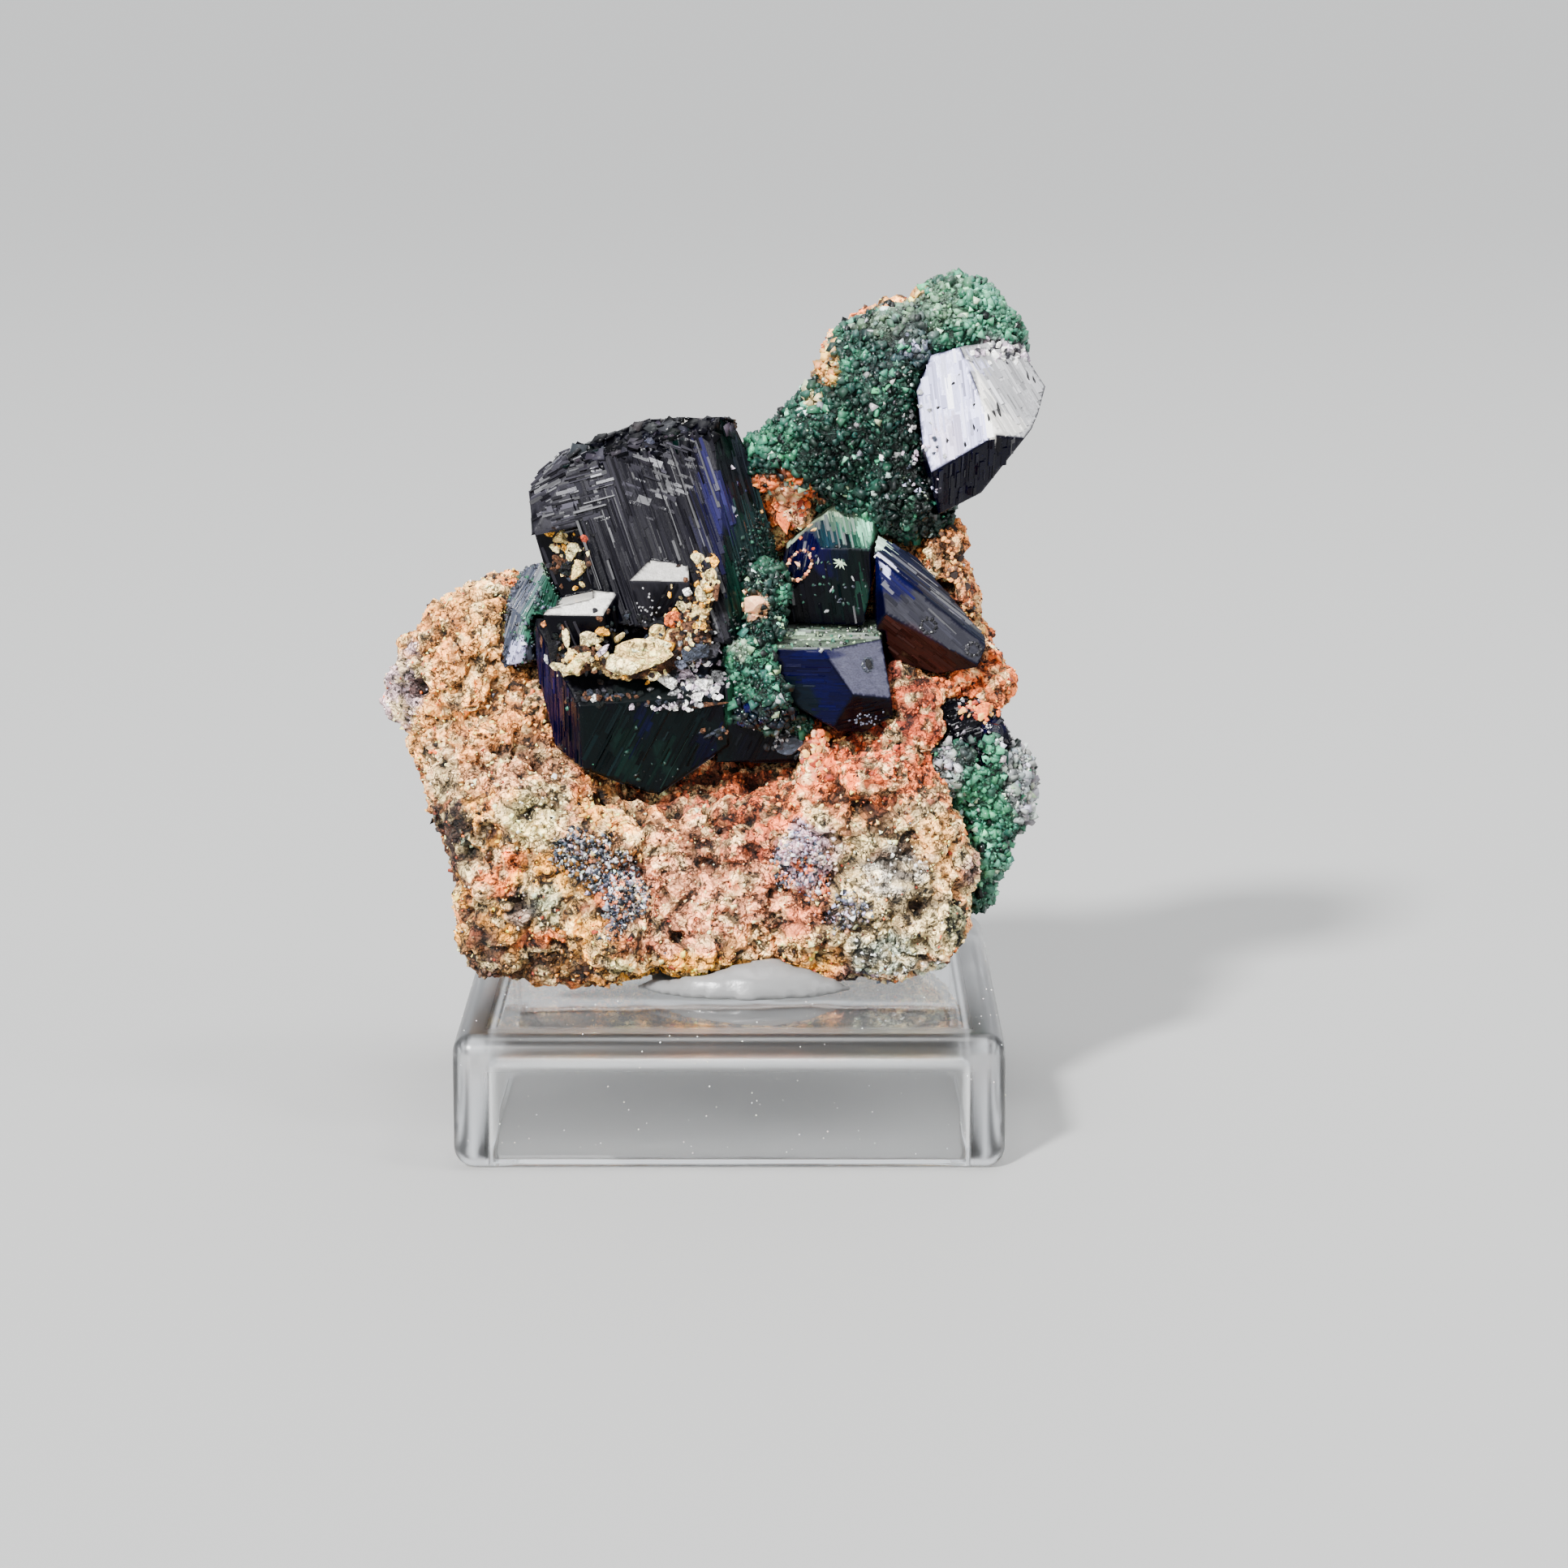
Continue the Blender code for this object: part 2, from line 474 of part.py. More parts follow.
def putty(parts):
    """The upper half of a flattened ball, as rings of points below the one at its top."""
    x, y = PUTTY_CENTRE
    place = (Matrix.Translation(scaled((x, y, BASE_HEIGHT + GAP)))
             @ Matrix.Diagonal((*scaled((*PUTTY_RADII, PUTTY_HEIGHT)), 1.0)))
    turns = [2 * math.pi * j / PUTTY_SIDES for j in range(PUTTY_SIDES)]
    bm = bmesh.new()
    top = bm.verts.new(place @ Vector((0, 0, 1)))
    rings = []
    for i in range(1, PUTTY_RINGS + 1):
        out = math.sin(math.pi / 2 * i / PUTTY_RINGS)
        up = math.cos(math.pi / 2 * i / PUTTY_RINGS)
        rings.append([
            bm.verts.new(place @ Vector((out * math.cos(turn), out * math.sin(turn), up))) for turn in turns])
    for j in range(PUTTY_SIDES):
        k = (j + 1) % PUTTY_SIDES
        bm.faces.new((top, rings[0][j], rings[0][k]))
        for upper, lower in zip(rings, rings[1:]):
            bm.faces.new((upper[j], lower[j], lower[k], upper[k]))
    bm.faces.new(rings[-1][::-1])
    return finish_bmesh(bm, "mounting_putty", parts)


def box(obj):
    points = [v.co for v in obj.data.vertices]
    return [(min(p[i] for p in points), max(p[i] for p in points)) for i in range(3)]


def cut_back(piece, seats):
    """Cuts the piece away from each seat that reaches it."""
    for other in seats:
        if all(a[0] < b[1] and b[0] < a[1] for a, b in zip(box(piece), box(other))):
            boolean(piece, other, "DIFFERENCE")


def largest_only(obj):
    """Keeps the largest body and drops the crumbs that a cut leaves loose."""
    bm = bmesh.new()
    bm.from_mesh(obj.data)
    bmesh.ops.remove_doubles(bm, verts=bm.verts, dist=0.002 * MM)
    unseen, groups = set(bm.faces), []
    while unseen:
        group, queue = set(), [unseen.pop()]
        while queue:
            face = queue.pop()
            group.add(face)
            for edge in face.edges:
                if len(edge.link_faces) != 2:
                    continue
                for other in edge.link_faces:
                    if other in unseen:
                        unseen.remove(other)
                        queue.append(other)
        groups.append(group)
    groups.sort(key=len)
    for group in groups[:-1]:
        bmesh.ops.delete(bm, geom=list(group), context="FACES")
    bmesh.ops.triangulate(bm, faces=bm.faces)
    bm.to_mesh(obj.data)
    bm.free()


def centre_on_origin(objects):
    """Moves everything sideways so that the origin lies under the middle of the bounding box."""
    points = [v.co for obj in objects for v in obj.data.vertices]
    middle = [(min(p[i] for p in points) + max(p[i] for p in points)) / 2 for i in (0, 1)]
    for obj in objects:
        obj.data.transform(Matrix.Translation((-middle[0], -middle[1], 0)))


def main():
    clear_scene()
    scene = bpy.context.scene.collection
    parts = bpy.data.collections.new("azurite_specimen")
    cutters = bpy.data.collections.new("cutters")
    scene.children.link(parts)
    scene.children.link(cutters)

    base = display_base(parts, cutters)
    rock = stone(parts, cutters)
    main_crystals = main_azurite(parts, cutters)
    singles = {name: crystal(name, parts) for name in SINGLE_CRYSTALS}
    crusts = [
        fused(name, [], lumps, CRUST_TRIANGLES[name], CRUST_SEED + i, parts)
        for i, (name, lumps) in enumerate(CRUST_LUMPS.items())]
    clay = fused("clay_patch", [], CLAY_LUMPS, CLAY_TRIANGLES, CLAY_SEED, parts)
    pad = putty(parts)

    seats = {name: crystal(name, cutters, GAP) for name in CRYSTALS}
    main_seats = [seats[name] for name in MAIN_BLOCKS]
    cut_back(singles["azurite_left"], main_seats)
    cut_back(singles["azurite_tabular"], main_seats)
    cut_back(singles["azurite_coated"], [*main_seats, seats["azurite_tabular"]])
    cut_back(singles["azurite_wedge"], [seats["azurite_tabular"], seats["azurite_coated"]])
    for crust in crusts:
        cut_back(crust, seats.values())
    crust_seats = [seat_of(crust, cutters) for crust in crusts]
    cut_back(clay, [*seats.values(), *crust_seats])
    cut_back(rock, [*seats.values(), *crust_seats, seat_of(clay, cutters), top_clearance(cutters)])
    cut_back(pad, [seat_of(rock, cutters, PAD_SEAT_KEPT)])

    nodes = [base, rock, main_crystals, *singles.values(), *crusts, clay, pad]
    for obj in nodes:
        largest_only(obj)
    centre_on_origin(nodes)

    colours = {"azurite": AZURITE, "malachite": MALACHITE, "matrix": GOSSAN, "clay": CLAY,
               "mounting": PUTTY, "display": PLASTIC}
    finishes = {key: material(key, colour) for key, colour in colours.items()}
    for obj in nodes:
        paint(obj, finishes[obj.name.split("_")[0]])
    for obj in cutters.objects:
        obj.hide_render = True
        obj.display_type = "WIRE"


main()
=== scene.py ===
"""Looks of the azurite specimen: its rough stone, striated crystals, malachite, clay and clear base.

Lengths are in millimetres and multiplied by MM. Places on the specimen that are given as (u, v) are
pixels of the 1932 x 1932 reference frame, and the camera's rays carry them onto the solids.
"""

import math

import bmesh
import bpy
import numpy as np
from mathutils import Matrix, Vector
from mathutils.bvhtree import BVHTree


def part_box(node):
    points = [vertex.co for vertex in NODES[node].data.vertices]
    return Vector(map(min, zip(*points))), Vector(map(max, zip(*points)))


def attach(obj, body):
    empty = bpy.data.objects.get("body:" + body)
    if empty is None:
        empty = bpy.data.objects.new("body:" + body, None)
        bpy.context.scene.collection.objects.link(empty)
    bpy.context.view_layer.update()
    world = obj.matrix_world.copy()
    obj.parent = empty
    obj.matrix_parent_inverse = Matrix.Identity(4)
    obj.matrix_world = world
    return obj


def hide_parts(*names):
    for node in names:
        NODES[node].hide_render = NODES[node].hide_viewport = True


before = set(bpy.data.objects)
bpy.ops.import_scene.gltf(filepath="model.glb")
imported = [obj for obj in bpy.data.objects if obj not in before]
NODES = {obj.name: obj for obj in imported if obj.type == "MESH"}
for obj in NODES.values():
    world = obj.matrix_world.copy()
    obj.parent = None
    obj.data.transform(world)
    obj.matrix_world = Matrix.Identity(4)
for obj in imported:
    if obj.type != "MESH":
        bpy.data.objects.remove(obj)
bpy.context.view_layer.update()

MM = 0.001

# ---------------------------------------------------------------- camera
FRAME_PX = 1932
FOCAL_PX = 5190
SENSOR_MM = 36.0
PITCH = math.radians(11.34)
CAMERA_FROM_BASE = (3.17, -250.6, 69.9)

base_low, base_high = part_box("display_base")
BASE_MIDDLE = Vector(((base_low.x + base_high.x) / 2, (base_low.y + base_high.y) / 2, 0)) / MM
CAMERA = BASE_MIDDLE + Vector(CAMERA_FROM_BASE)
FORWARD = Vector((0, math.cos(PITCH), -math.sin(PITCH)))
UP = Vector((0, math.sin(PITCH), math.cos(PITCH)))


def to_pixels(points):
    """The reference frame's pixels (u, v) of points in millimetres."""
    away = points - np.array(CAMERA)
    depth = away @ np.array(FORWARD)
    u = FRAME_PX / 2 + FOCAL_PX * away[:, 0] / depth
    v = FRAME_PX / 2 - FOCAL_PX * (away @ np.array(UP)) / depth
    return u, v


def sight(u, v):
    """The direction in which the camera sees a pixel."""
    middle = FRAME_PX / 2
    line = FORWARD + Vector((u - middle, 0, 0)) / FOCAL_PX - UP * (v - middle) / FOCAL_PX
    return line.normalized()


def direction(azimuth, elevation):
    """The unit vector at that azimuth and elevation in degrees, where (0, 0) is straight to the front."""
    a, e = math.radians(azimuth), math.radians(elevation)
    return math.sin(a) * math.cos(e), -math.cos(a) * math.cos(e), math.sin(e)


def turned(degrees):
    """The cosine and the sine of a turn."""
    return math.cos(math.radians(degrees)), math.sin(math.radians(degrees))


# ---------------------------------------------------------------- noise
def hashed(cells, seed):
    """A repeatable number from 0 to 1 for each whole-number cell."""
    n = cells[..., 0] * 73856093 ^ cells[..., 1] * 19349663 ^ cells[..., 2] * 83492791
    n = (n ^ (seed * 668265263)) & 0xFFFFFFFF
    n = ((n ^ (n >> 15)) * 0x2C1B3C6D) & 0xFFFFFFFF
    n = ((n ^ (n >> 12)) * 0x297A2D39) & 0xFFFFFFFF
    return ((n ^ (n >> 15)) & 0xFFFFFF) / float(0x1000000)


def smooth_noise(points, wavelength, seed):
    """Noise from -1 to 1 that changes over about that length."""
    place = points / wavelength
    cell = np.floor(place).astype(np.int64)
    part = place - cell
    part = part * part * part * (part * (part * 6 - 15) + 10)
    total = np.zeros(len(points))
    for corner in np.ndindex(2, 2, 2):
        weight = np.prod(np.where(corner, part, 1 - part), axis=1)
        total += weight * hashed(cell + np.array(corner), seed)
    return total * 2 - 1


def fractal(points, wavelength, octaves, seed):
    total, height, most = np.zeros(len(points)), 1.0, 0.0
    for i in range(octaves):
        total += height * smooth_noise(points, wavelength / 2**i, seed + 31 * i)
        most += height
        height *= 0.55
    return total / most


def cells(points, size, seed):
    """Distance to the nearest and second nearest seed point, in cells, and the nearest one's number."""
    place = points / size
    home = np.floor(place).astype(np.int64)
    first = np.full(len(points), 9.0)
    second = np.full(len(points), 9.0)
    number = np.zeros(len(points))
    for step in np.ndindex(3, 3, 3):
        cell = home + np.array(step) - 1
        jitter = np.stack([hashed(cell, seed + k) for k in (1, 2, 3)], axis=1)
        gap = np.linalg.norm(cell + jitter - place, axis=1)
        nearer = gap < first
        second = np.where(nearer, first, np.minimum(second, gap))
        number = np.where(nearer, hashed(cell, seed + 4), number)
        first = np.where(nearer, gap, first)
    return first, second, number


def ramp(value, low, high):
    """A smooth rise from 0 at low to 1 at high."""
    t = np.clip((value - low) / (high - low), 0, 1)
    return t * t * (3 - 2 * t)


# ---------------------------------------------------------------- colours
def srgb(red, green, blue):
    """Linear colour from screen values of 0 to 255."""
    return np.array([(c / 255) ** 2.2 for c in (red, green, blue)])


PALETTE = {
    "peach": srgb(255, 178, 96),
    "sand": srgb(254, 164, 88),
    "tan": srgb(218, 134, 74),
    "orange": srgb(244, 112, 54),
    "salmon": srgb(255, 138, 94),
    "pink": srgb(255, 184, 138),
    "red_brown": srgb(150, 60, 40),
    "brown": srgb(84, 56, 40),
    "dark_brown": srgb(34, 22, 18),
    "ochre": srgb(242, 164, 54),
    "yellow": srgb(255, 236, 158),
    "cream": srgb(255, 224, 160),
    "white": srgb(248, 244, 236),
    "lilac": srgb(190, 172, 188),
    "grey": srgb(150, 150, 152),
    "dark_grey": srgb(44, 43, 48),
    "slate": srgb(44, 48, 57),
    "blue_grey": srgb(84, 88, 102),
    "sage": srgb(166, 190, 158),
    "ink": srgb(8, 8, 14),
    "black_green": srgb(7, 18, 17),
    "navy": srgb(7, 7, 26),
    "indigo": srgb(14, 11, 46),
    "royal": srgb(5, 4, 50),
    "violet": srgb(42, 40, 76),
    "lavender": srgb(196, 196, 236),
    "deep_green": srgb(22, 48, 41),
    "green": srgb(46, 86, 70),
    "bright_green": srgb(66, 130, 100),
    "mint": srgb(118, 184, 152),
    "pale_mint": srgb(200, 232, 212),
    "clay": srgb(255, 212, 136),
}


# ---------------------------------------------------------------- pieces
class Surface:
    """A piece's points and normals, in millimetres, and the colour and roughness painted on them."""

    def __init__(self, obj, colour, rough):
        self.obj = obj
        self.mesh = obj.data
        count = len(self.mesh.vertices)
        flat = np.empty(count * 3, np.float32)
        self.mesh.vertices.foreach_get("co", flat)
        self.points = flat.reshape(-1, 3).astype(float) / MM
        self.colour = np.tile(PALETTE[colour], (count, 1))
        self.rough = np.full(count, float(rough))
        self.read_normals()
        self.rest = self.points.copy()
        self.facets = self.normals.copy()
        self.grain = self.rest
        self.zone = self.colour

    def draw_out(self, along, share=0.2):
        """Makes the rims of painted patches run out along a direction."""
        axis = np.array(Vector(along).normalized())
        self.grain = self.rest - (1 - share) * np.outer(self.rest @ axis, axis)

    def read_normals(self):
        flat = np.empty(len(self.mesh.vertices) * 3, np.float32)
        self.mesh.vertices.foreach_get("normal", flat)
        self.normals = flat.reshape(-1, 3).astype(float)

    def scramble(self, amount, seed):
        """Moves each point a little at random, so that flat faces between them look like small crystals."""
        draw = np.random.default_rng(seed)
        self.move(draw.uniform(-amount, amount, self.points.shape))

    def lift(self, height):
        """Moves each point along its normal."""
        self.move(self.normals * np.reshape(height, (-1, 1)))

    def move(self, offsets):
        self.points += offsets
        self.mesh.vertices.foreach_set("co", (self.points * MM).astype(np.float32).ravel())
        self.mesh.update()
        self.read_normals()

    def paint(self, mask, colour, rough=None):
        """Mixes a colour of the palette in where the mask is 1."""
        mask = np.clip(mask, 0, 1)
        self.colour += mask[:, None] * (PALETTE[colour] - self.colour)
        if rough is not None:
            self.rough += mask * (rough - self.rough)

    def mottle(self, colour, much, wavelength, octaves, seed, low, high):
        """Paints a colour where noise is between two levels or above."""
        self.paint(much * ramp(fractal(self.rest, wavelength, octaves, seed), low, high), colour)

    def paint_spots(self, rows, seed):
        """Paints patches: u, v, half width, half height, turn, colour, strength and, if given, roughness."""
        for i, (u, v, wide, high, turn, colour, much, *rough) in enumerate(rows):
            self.paint(much * self.spot(u, v, wide, high, turn, seed=seed + i), colour, *rough)

    def paint_faces(self, rows):
        """Paints flat faces: azimuth and elevation of the face, colour, strength, roughness."""
        for azimuth, elevation, colour, much, rough in rows:
            self.paint(much * self.facing(azimuth, elevation, 5), colour, rough)

    def shade(self, factor):
        self.colour *= np.reshape(factor, (-1, 1))

    def spot(self, u, v, wide, high, turn=0.0, edge=0.15, ragged=0.7, seed=5, grain=1.4):
        """1 inside an ellipse of the reference frame on the side that faces the camera, with a ragged rim."""
        pu, pv = to_pixels(self.rest)
        c, s = turned(turn)
        across = ((pu - u) * c + (pv - v) * s) / wide
        down = ((pv - v) * c - (pu - u) * s) / high
        near = np.hypot(across, down)
        mask = np.zeros(len(near))
        some = near < 1 + edge + ragged
        reach = near[some] + ragged * fractal(self.grain[some], grain, 4, seed)
        seen = ramp(self.facets[some] @ -np.array(sight(u, v)), -0.4, -0.05)
        mask[some] = (1 - ramp(reach, 1 - edge, 1 + edge)) * seen
        return mask

    def away_from(self, u, v):
        """Each point's distance from the place that the camera sees at a pixel."""
        pu, pv = to_pixels(self.rest)
        off = np.hypot(pu - u, pv - v)
        close = np.flatnonzero(off < max(6.0, off.min() + 1.0))
        depth = (self.rest[close] - np.array(CAMERA)) @ np.array(FORWARD)
        return np.linalg.norm(self.rest - self.rest[close[np.argmin(depth)]], axis=1)

    def facing(self, azimuth, elevation, within=12.0):
        """1 on points whose normal is within that many degrees of a direction."""
        towards = self.facets @ np.array(direction(azimuth, elevation))
        return ramp(towards, turned(within * 1.5)[0], turned(within)[0])

    def store(self):
        """Writes the colour and roughness as attributes for the shader."""
        self.write("POINT", self.colour, self.rough)

    def store_faces(self, vary, seed):
        """Makes the faces flat and gives each one colour and roughness, a little apart from the next."""
        draw = np.random.default_rng(seed)
        tris = triangles(self.mesh)
        light = np.exp(draw.normal(0, vary, (len(tris), 1)))
        tint = self.colour[tris].mean(axis=1) * light
        rough = self.rough[tris].mean(axis=1) * draw.uniform(0.7, 1.1, len(tris))
        self.mesh.shade_flat()
        self.write("CORNER", np.repeat(tint, 3, axis=0), np.repeat(rough, 3))

    def write(self, domain, tint, rough):
        colours = np.ones((len(tint), 4), np.float32)
        colours[:, :3] = np.clip(tint, 0, 1)
        layer = self.mesh.attributes.new("tint", "FLOAT_COLOR", domain)
        layer.data.foreach_set("color", colours.ravel())
        layer = self.mesh.attributes.new("rough", "FLOAT", domain)
        layer.data.foreach_set("value", np.clip(rough, 0.02, 1).astype(np.float32))


def link(obj):
    bpy.context.scene.collection.objects.link(obj)
    return obj


def modified(obj):
    """Replaces the object's mesh with what its modifiers make of it."""
    bpy.context.view_layer.update()
    graph = bpy.context.evaluated_depsgraph_get()
    mesh = bpy.data.meshes.new_from_object(obj.evaluated_get(graph))
    obj.modifiers.clear()
    obj.data = mesh
    return obj


def even_copy(node, name, **settings):
    """The node's solid as an even fine mesh, by a remesh with these settings."""
    obj = link(bpy.data.objects.new(name, NODES[node].data.copy()))
    obj.modifiers.new("weld", "WELD").merge_threshold = 1e-6
    modified(obj)
    remesh = obj.modifiers.new("even", "REMESH")
    for key, value in settings.items():
        setattr(remesh, key, value)
    return obj


def fine_copy(node, name, voxel, soften):
    """A copy softened so that the solid's large facets don't show."""
    obj = even_copy(node, name, mode="VOXEL", voxel_size=voxel * MM)
    smooth = obj.modifiers.new("soften", "SMOOTH")
    smooth.iterations = soften
    smooth.factor = 0.6
    obj.modifiers.new("triangles", "TRIANGULATE")
    modified(obj).data.shade_smooth()
    return obj


def sharp_copy(node, name, depth):
    """A copy that keeps the solid's edges crisp."""
    obj = even_copy(node, name, mode="SHARP", octree_depth=depth, scale=0.96, use_remove_disconnected=False)
    modified(obj).data.shade_smooth()
    return obj


def keep(obj, material, slot, *nodes):
    """Finishes a piece: its material, what it rides on and the nodes that it stands for."""
    obj.data.materials.clear()
    obj.data.materials.append(material)
    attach(obj, "root")
    if nodes:
        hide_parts(*nodes)


# ---------------------------------------------------------------- scattered grains
def taken(bm):
    """The corners and faces of a bmesh, which is then freed."""
    corners = np.array([v.co for v in bm.verts])
    faces = np.array([[v.index for v in f.verts] for f in bm.faces])
    bm.free()
    return corners, faces


def unit_shape(kind):
    """Corners and faces of a small solid about 2 across, with +Z outwards."""
    bm = bmesh.new()
    if kind == "lump":
        bmesh.ops.create_icosphere(bm, subdivisions=1, radius=1.0)
    elif kind == "cube":
        bmesh.ops.create_cube(bm, size=1.6)
    else:
        bmesh.ops.create_cone(bm, cap_ends=True, segments=3, radius1=1.0, radius2=0.65, depth=1.5)
    bmesh.ops.triangulate(bm, faces=bm.faces)
    return taken(bm)


def triangles(mesh):
    mesh.calc_loop_triangles()
    flat = np.empty(len(mesh.loop_triangles) * 3, np.int32)
    mesh.loop_triangles.foreach_get("vertices", flat)
    return flat.reshape(-1, 3)


def mesh_of(name, points, faces):
    """An object from points in millimetres and triangles."""
    mesh = bpy.data.meshes.new(name)
    mesh.vertices.add(len(points))
    mesh.vertices.foreach_set("co", (points * MM).astype(np.float32).ravel())
    mesh.loops.add(faces.size)
    mesh.loops.foreach_set("vertex_index", faces.astype(np.int32).ravel())
    mesh.polygons.add(len(faces))
    mesh.polygons.foreach_set("loop_start", np.arange(0, faces.size, 3, dtype=np.int32))
    mesh.update(calc_edges=True)
    return link(bpy.data.objects.new(name, mesh))


def scatter(name, slot, surface, count, sizes, seed, where=1.0, mixture=None, own=1.0, gain=1.0,
            kind="shard", stretch=(0.7, 1.3), tilt=1.2, sink=0.4, vary=0.3, rough=(0.3, 0.9), jitter=0.3,
            material=None):
    """Many small solids standing on a surface, as one piece.

    own is the share that takes the surface's colour, and the others draw theirs from the mixture.
    """
    draw = np.random.default_rng(seed)
    tris = triangles(surface.mesh)
    a, b, c = (surface.points[tris[:, k]] for k in range(3))
    weight = np.linalg.norm(np.cross(b - a, c - a), axis=1)
    where = np.broadcast_to(where, len(surface.points))
    weight = weight * np.clip(where[tris].mean(axis=1), 0, None)
    pick = draw.choice(len(tris), count, p=weight / weight.sum())
    r1, r2 = np.sqrt(draw.random(count)), draw.random(count)
    mix = np.stack([1 - r1, r1 * (1 - r2), r1 * r2], axis=1)
    spots = np.einsum("nk,nkd->nd", mix, surface.points[tris[pick]])
    out = np.einsum("nk,nkd->nd", mix, surface.normals[tris[pick]])
    size = sizes[0] * (sizes[1] / sizes[0]) ** draw.random(count)
    long = size * draw.uniform(*stretch, count)
    spots = spots + out * (long * (1 - 2 * sink) / 2)[:, None]
    out = out + draw.normal(0, tilt * 0.5, (count, 3))
    out /= np.linalg.norm(out, axis=1)[:, None]
    side = np.cross(out, draw.normal(0, 1, (count, 3)))
    side /= np.linalg.norm(side, axis=1)[:, None]
    other = np.cross(out, side)
    corners, faces = unit_shape(kind)
    number = len(corners)
    local = corners[None] * (1 + draw.uniform(-jitter, jitter, (count, number, 3)))
    points = (spots[:, None] + local[:, :, :1] * (side * size[:, None] / 2)[:, None]
              + local[:, :, 1:2] * (other * size[:, None] / 2)[:, None]
              + local[:, :, 2:] * (out * long[:, None] / 2)[:, None])
    tint = surface.zone[tris[pick, 0]] * gain
    if mixture:
        names = list(mixture)
        share = np.array([mixture[n] for n in names], float)
        drawn = np.array([PALETTE[n] for n in names])[draw.choice(len(names), count, p=share / share.sum())]
        tint = np.where(draw.random((count, 1)) < own, tint, drawn)
    tint = tint * np.exp(draw.normal(0, vary, (count, 1)) + draw.normal(0, 0.07, (count, 3)))
    all_faces = (faces[None] + np.arange(count)[:, None, None] * number).reshape(-1, 3)
    piece = Surface(mesh_of(name, points.reshape(-1, 3), all_faces), "white", 0.5)
    piece.colour = np.repeat(tint, number, axis=0)
    piece.rough = np.repeat(draw.uniform(*rough, count), number)
    piece.store()
    keep(piece.obj, material or GRAINS, slot)


# ---------------------------------------------------------------- placed pieces
def solid_tree(node):
    """The node's solid for nearest-point and ray tests, in millimetres."""
    mesh = NODES[node].data
    corners = [v.co / MM for v in mesh.vertices]
    return BVHTree.FromPolygons(corners, [tuple(f.vertices) for f in mesh.polygons])


SOLIDS = {node: solid_tree(node) for node in NODES}


def seen_at(u, v):
    """The place on the solids that the camera sees at a pixel."""
    line = sight(u, v)
    hits = [tree.ray_cast(CAMERA, line)[0] for tree in SOLIDS.values()]
    hits = [hit for hit in hits if hit is not None]
    return min(hits, key=lambda hit: (hit - CAMERA).length) if hits else None


def ball(detail):
    bm = bmesh.new()
    bmesh.ops.create_icosphere(bm, subdivisions=detail, radius=1.0)
    return taken(bm)


class Bits:
    """Small solids set one by one, which end as one mesh."""

    def __init__(self, seed):
        self.draw = np.random.default_rng(seed)
        self.points, self.faces, self.tints, self.roughs = [], [], [], []
        self.count = 0

    def add(self, points, faces, colour, rough, vary=0.15):
        light = np.exp(self.draw.normal(0, vary, (len(faces), 1)))
        self.points.append(points)
        self.faces.append(faces + self.count)
        self.tints.append(np.clip(PALETTE[colour] * light, 0, 1) if isinstance(colour, str) else colour)
        self.roughs.append(np.full(len(faces), rough) * self.draw.uniform(0.7, 1.2, len(faces)))
        self.count += len(points)

    def frame(self, turn):
        """Across and up in the picture plane, turned clockwise by so many degrees."""
        c, s = turned(turn)
        across, up = np.array((1.0, 0.0, 0.0)), np.array(UP)
        return across * c - up * s, up * c + across * s

    def chunk(self, u, v, wide, high, turn, colour, rough=0.8, deep=0.5, sink=0.25, cuts=8, vary=0.15,
              crags=0.12, detail=3):
        """An angular crumb at a pixel. Width and height are in pixels, and deep is a share of the smaller."""
        place = seen_at(u, v)
        if place is None:
            return
        scale = (place - CAMERA).length / FOCAL_PX / 2
        across, up = self.frame(turn)
        out = -np.array(sight(u, v))
        shape, faces = ball(detail)
        for _ in range(cuts):
            way = self.draw.normal(0, 1, 3)
            way /= np.linalg.norm(way)
            over = shape @ way - self.draw.uniform(0.35, 0.75)
            shape = shape - np.clip(over, 0, None)[:, None] * way
        shape = shape * (1 + crags * fractal(shape + self.draw.uniform(-50, 50, 3), 0.6, 3, 7)[:, None])
        shape /= np.abs(shape).max(axis=0)
        depth = deep * min(wide, high)
        points = (np.array(place) + shape[:, :1] * across * wide * scale + shape[:, 1:2] * up * high * scale
                  + (shape[:, 2:] + 1 - 2 * sink) * out * depth * scale)
        self.add(points, faces, colour, rough, vary)

    def ring(self, u, v, wide, high, turn, colours, size, rough=0.7, around=18):
        """Beads of that size in pixels on an ellipse around a pixel, each on what is seen there."""
        c, s = turned(turn)
        for k in range(around):
            a = 2 * math.pi * k / around
            x, y = wide * math.cos(a), high * math.sin(a)
            w, h = self.draw.uniform(0.7, 1.3, 2) * size
            self.chunk(u + x * c - y * s, v + x * s + y * c, w, h, self.draw.uniform(0, 180),
                       colours[k % len(colours)], rough, deep=0.8, detail=1, vary=0.25)

    def crumbs(self, u, v, wide, high, count, colours, sizes, rough=0.6, deep=0.8, vary=0.25, detail=1):
        """Small crumbs gathered around a pixel."""
        for du, dv in self.draw.normal(0, 0.5, (count, 2)):
            w, h = self.draw.uniform(*sizes, 2)
            self.chunk(u + du * wide, v + dv * high, w, h, self.draw.uniform(0, 180),
                       colours[self.draw.integers(len(colours))], rough, deep, cuts=6, vary=vary,
                       detail=detail)

    def finish(self, name, material, slot):
        piece = Surface(mesh_of(name, np.concatenate(self.points), np.concatenate(self.faces)), "white", 0.5)
        piece.mesh.shade_flat()
        piece.write("CORNER", np.repeat(np.concatenate(self.tints), 3, axis=0),
                    np.repeat(np.concatenate(self.roughs), 3))
        keep(piece.obj, material, slot)


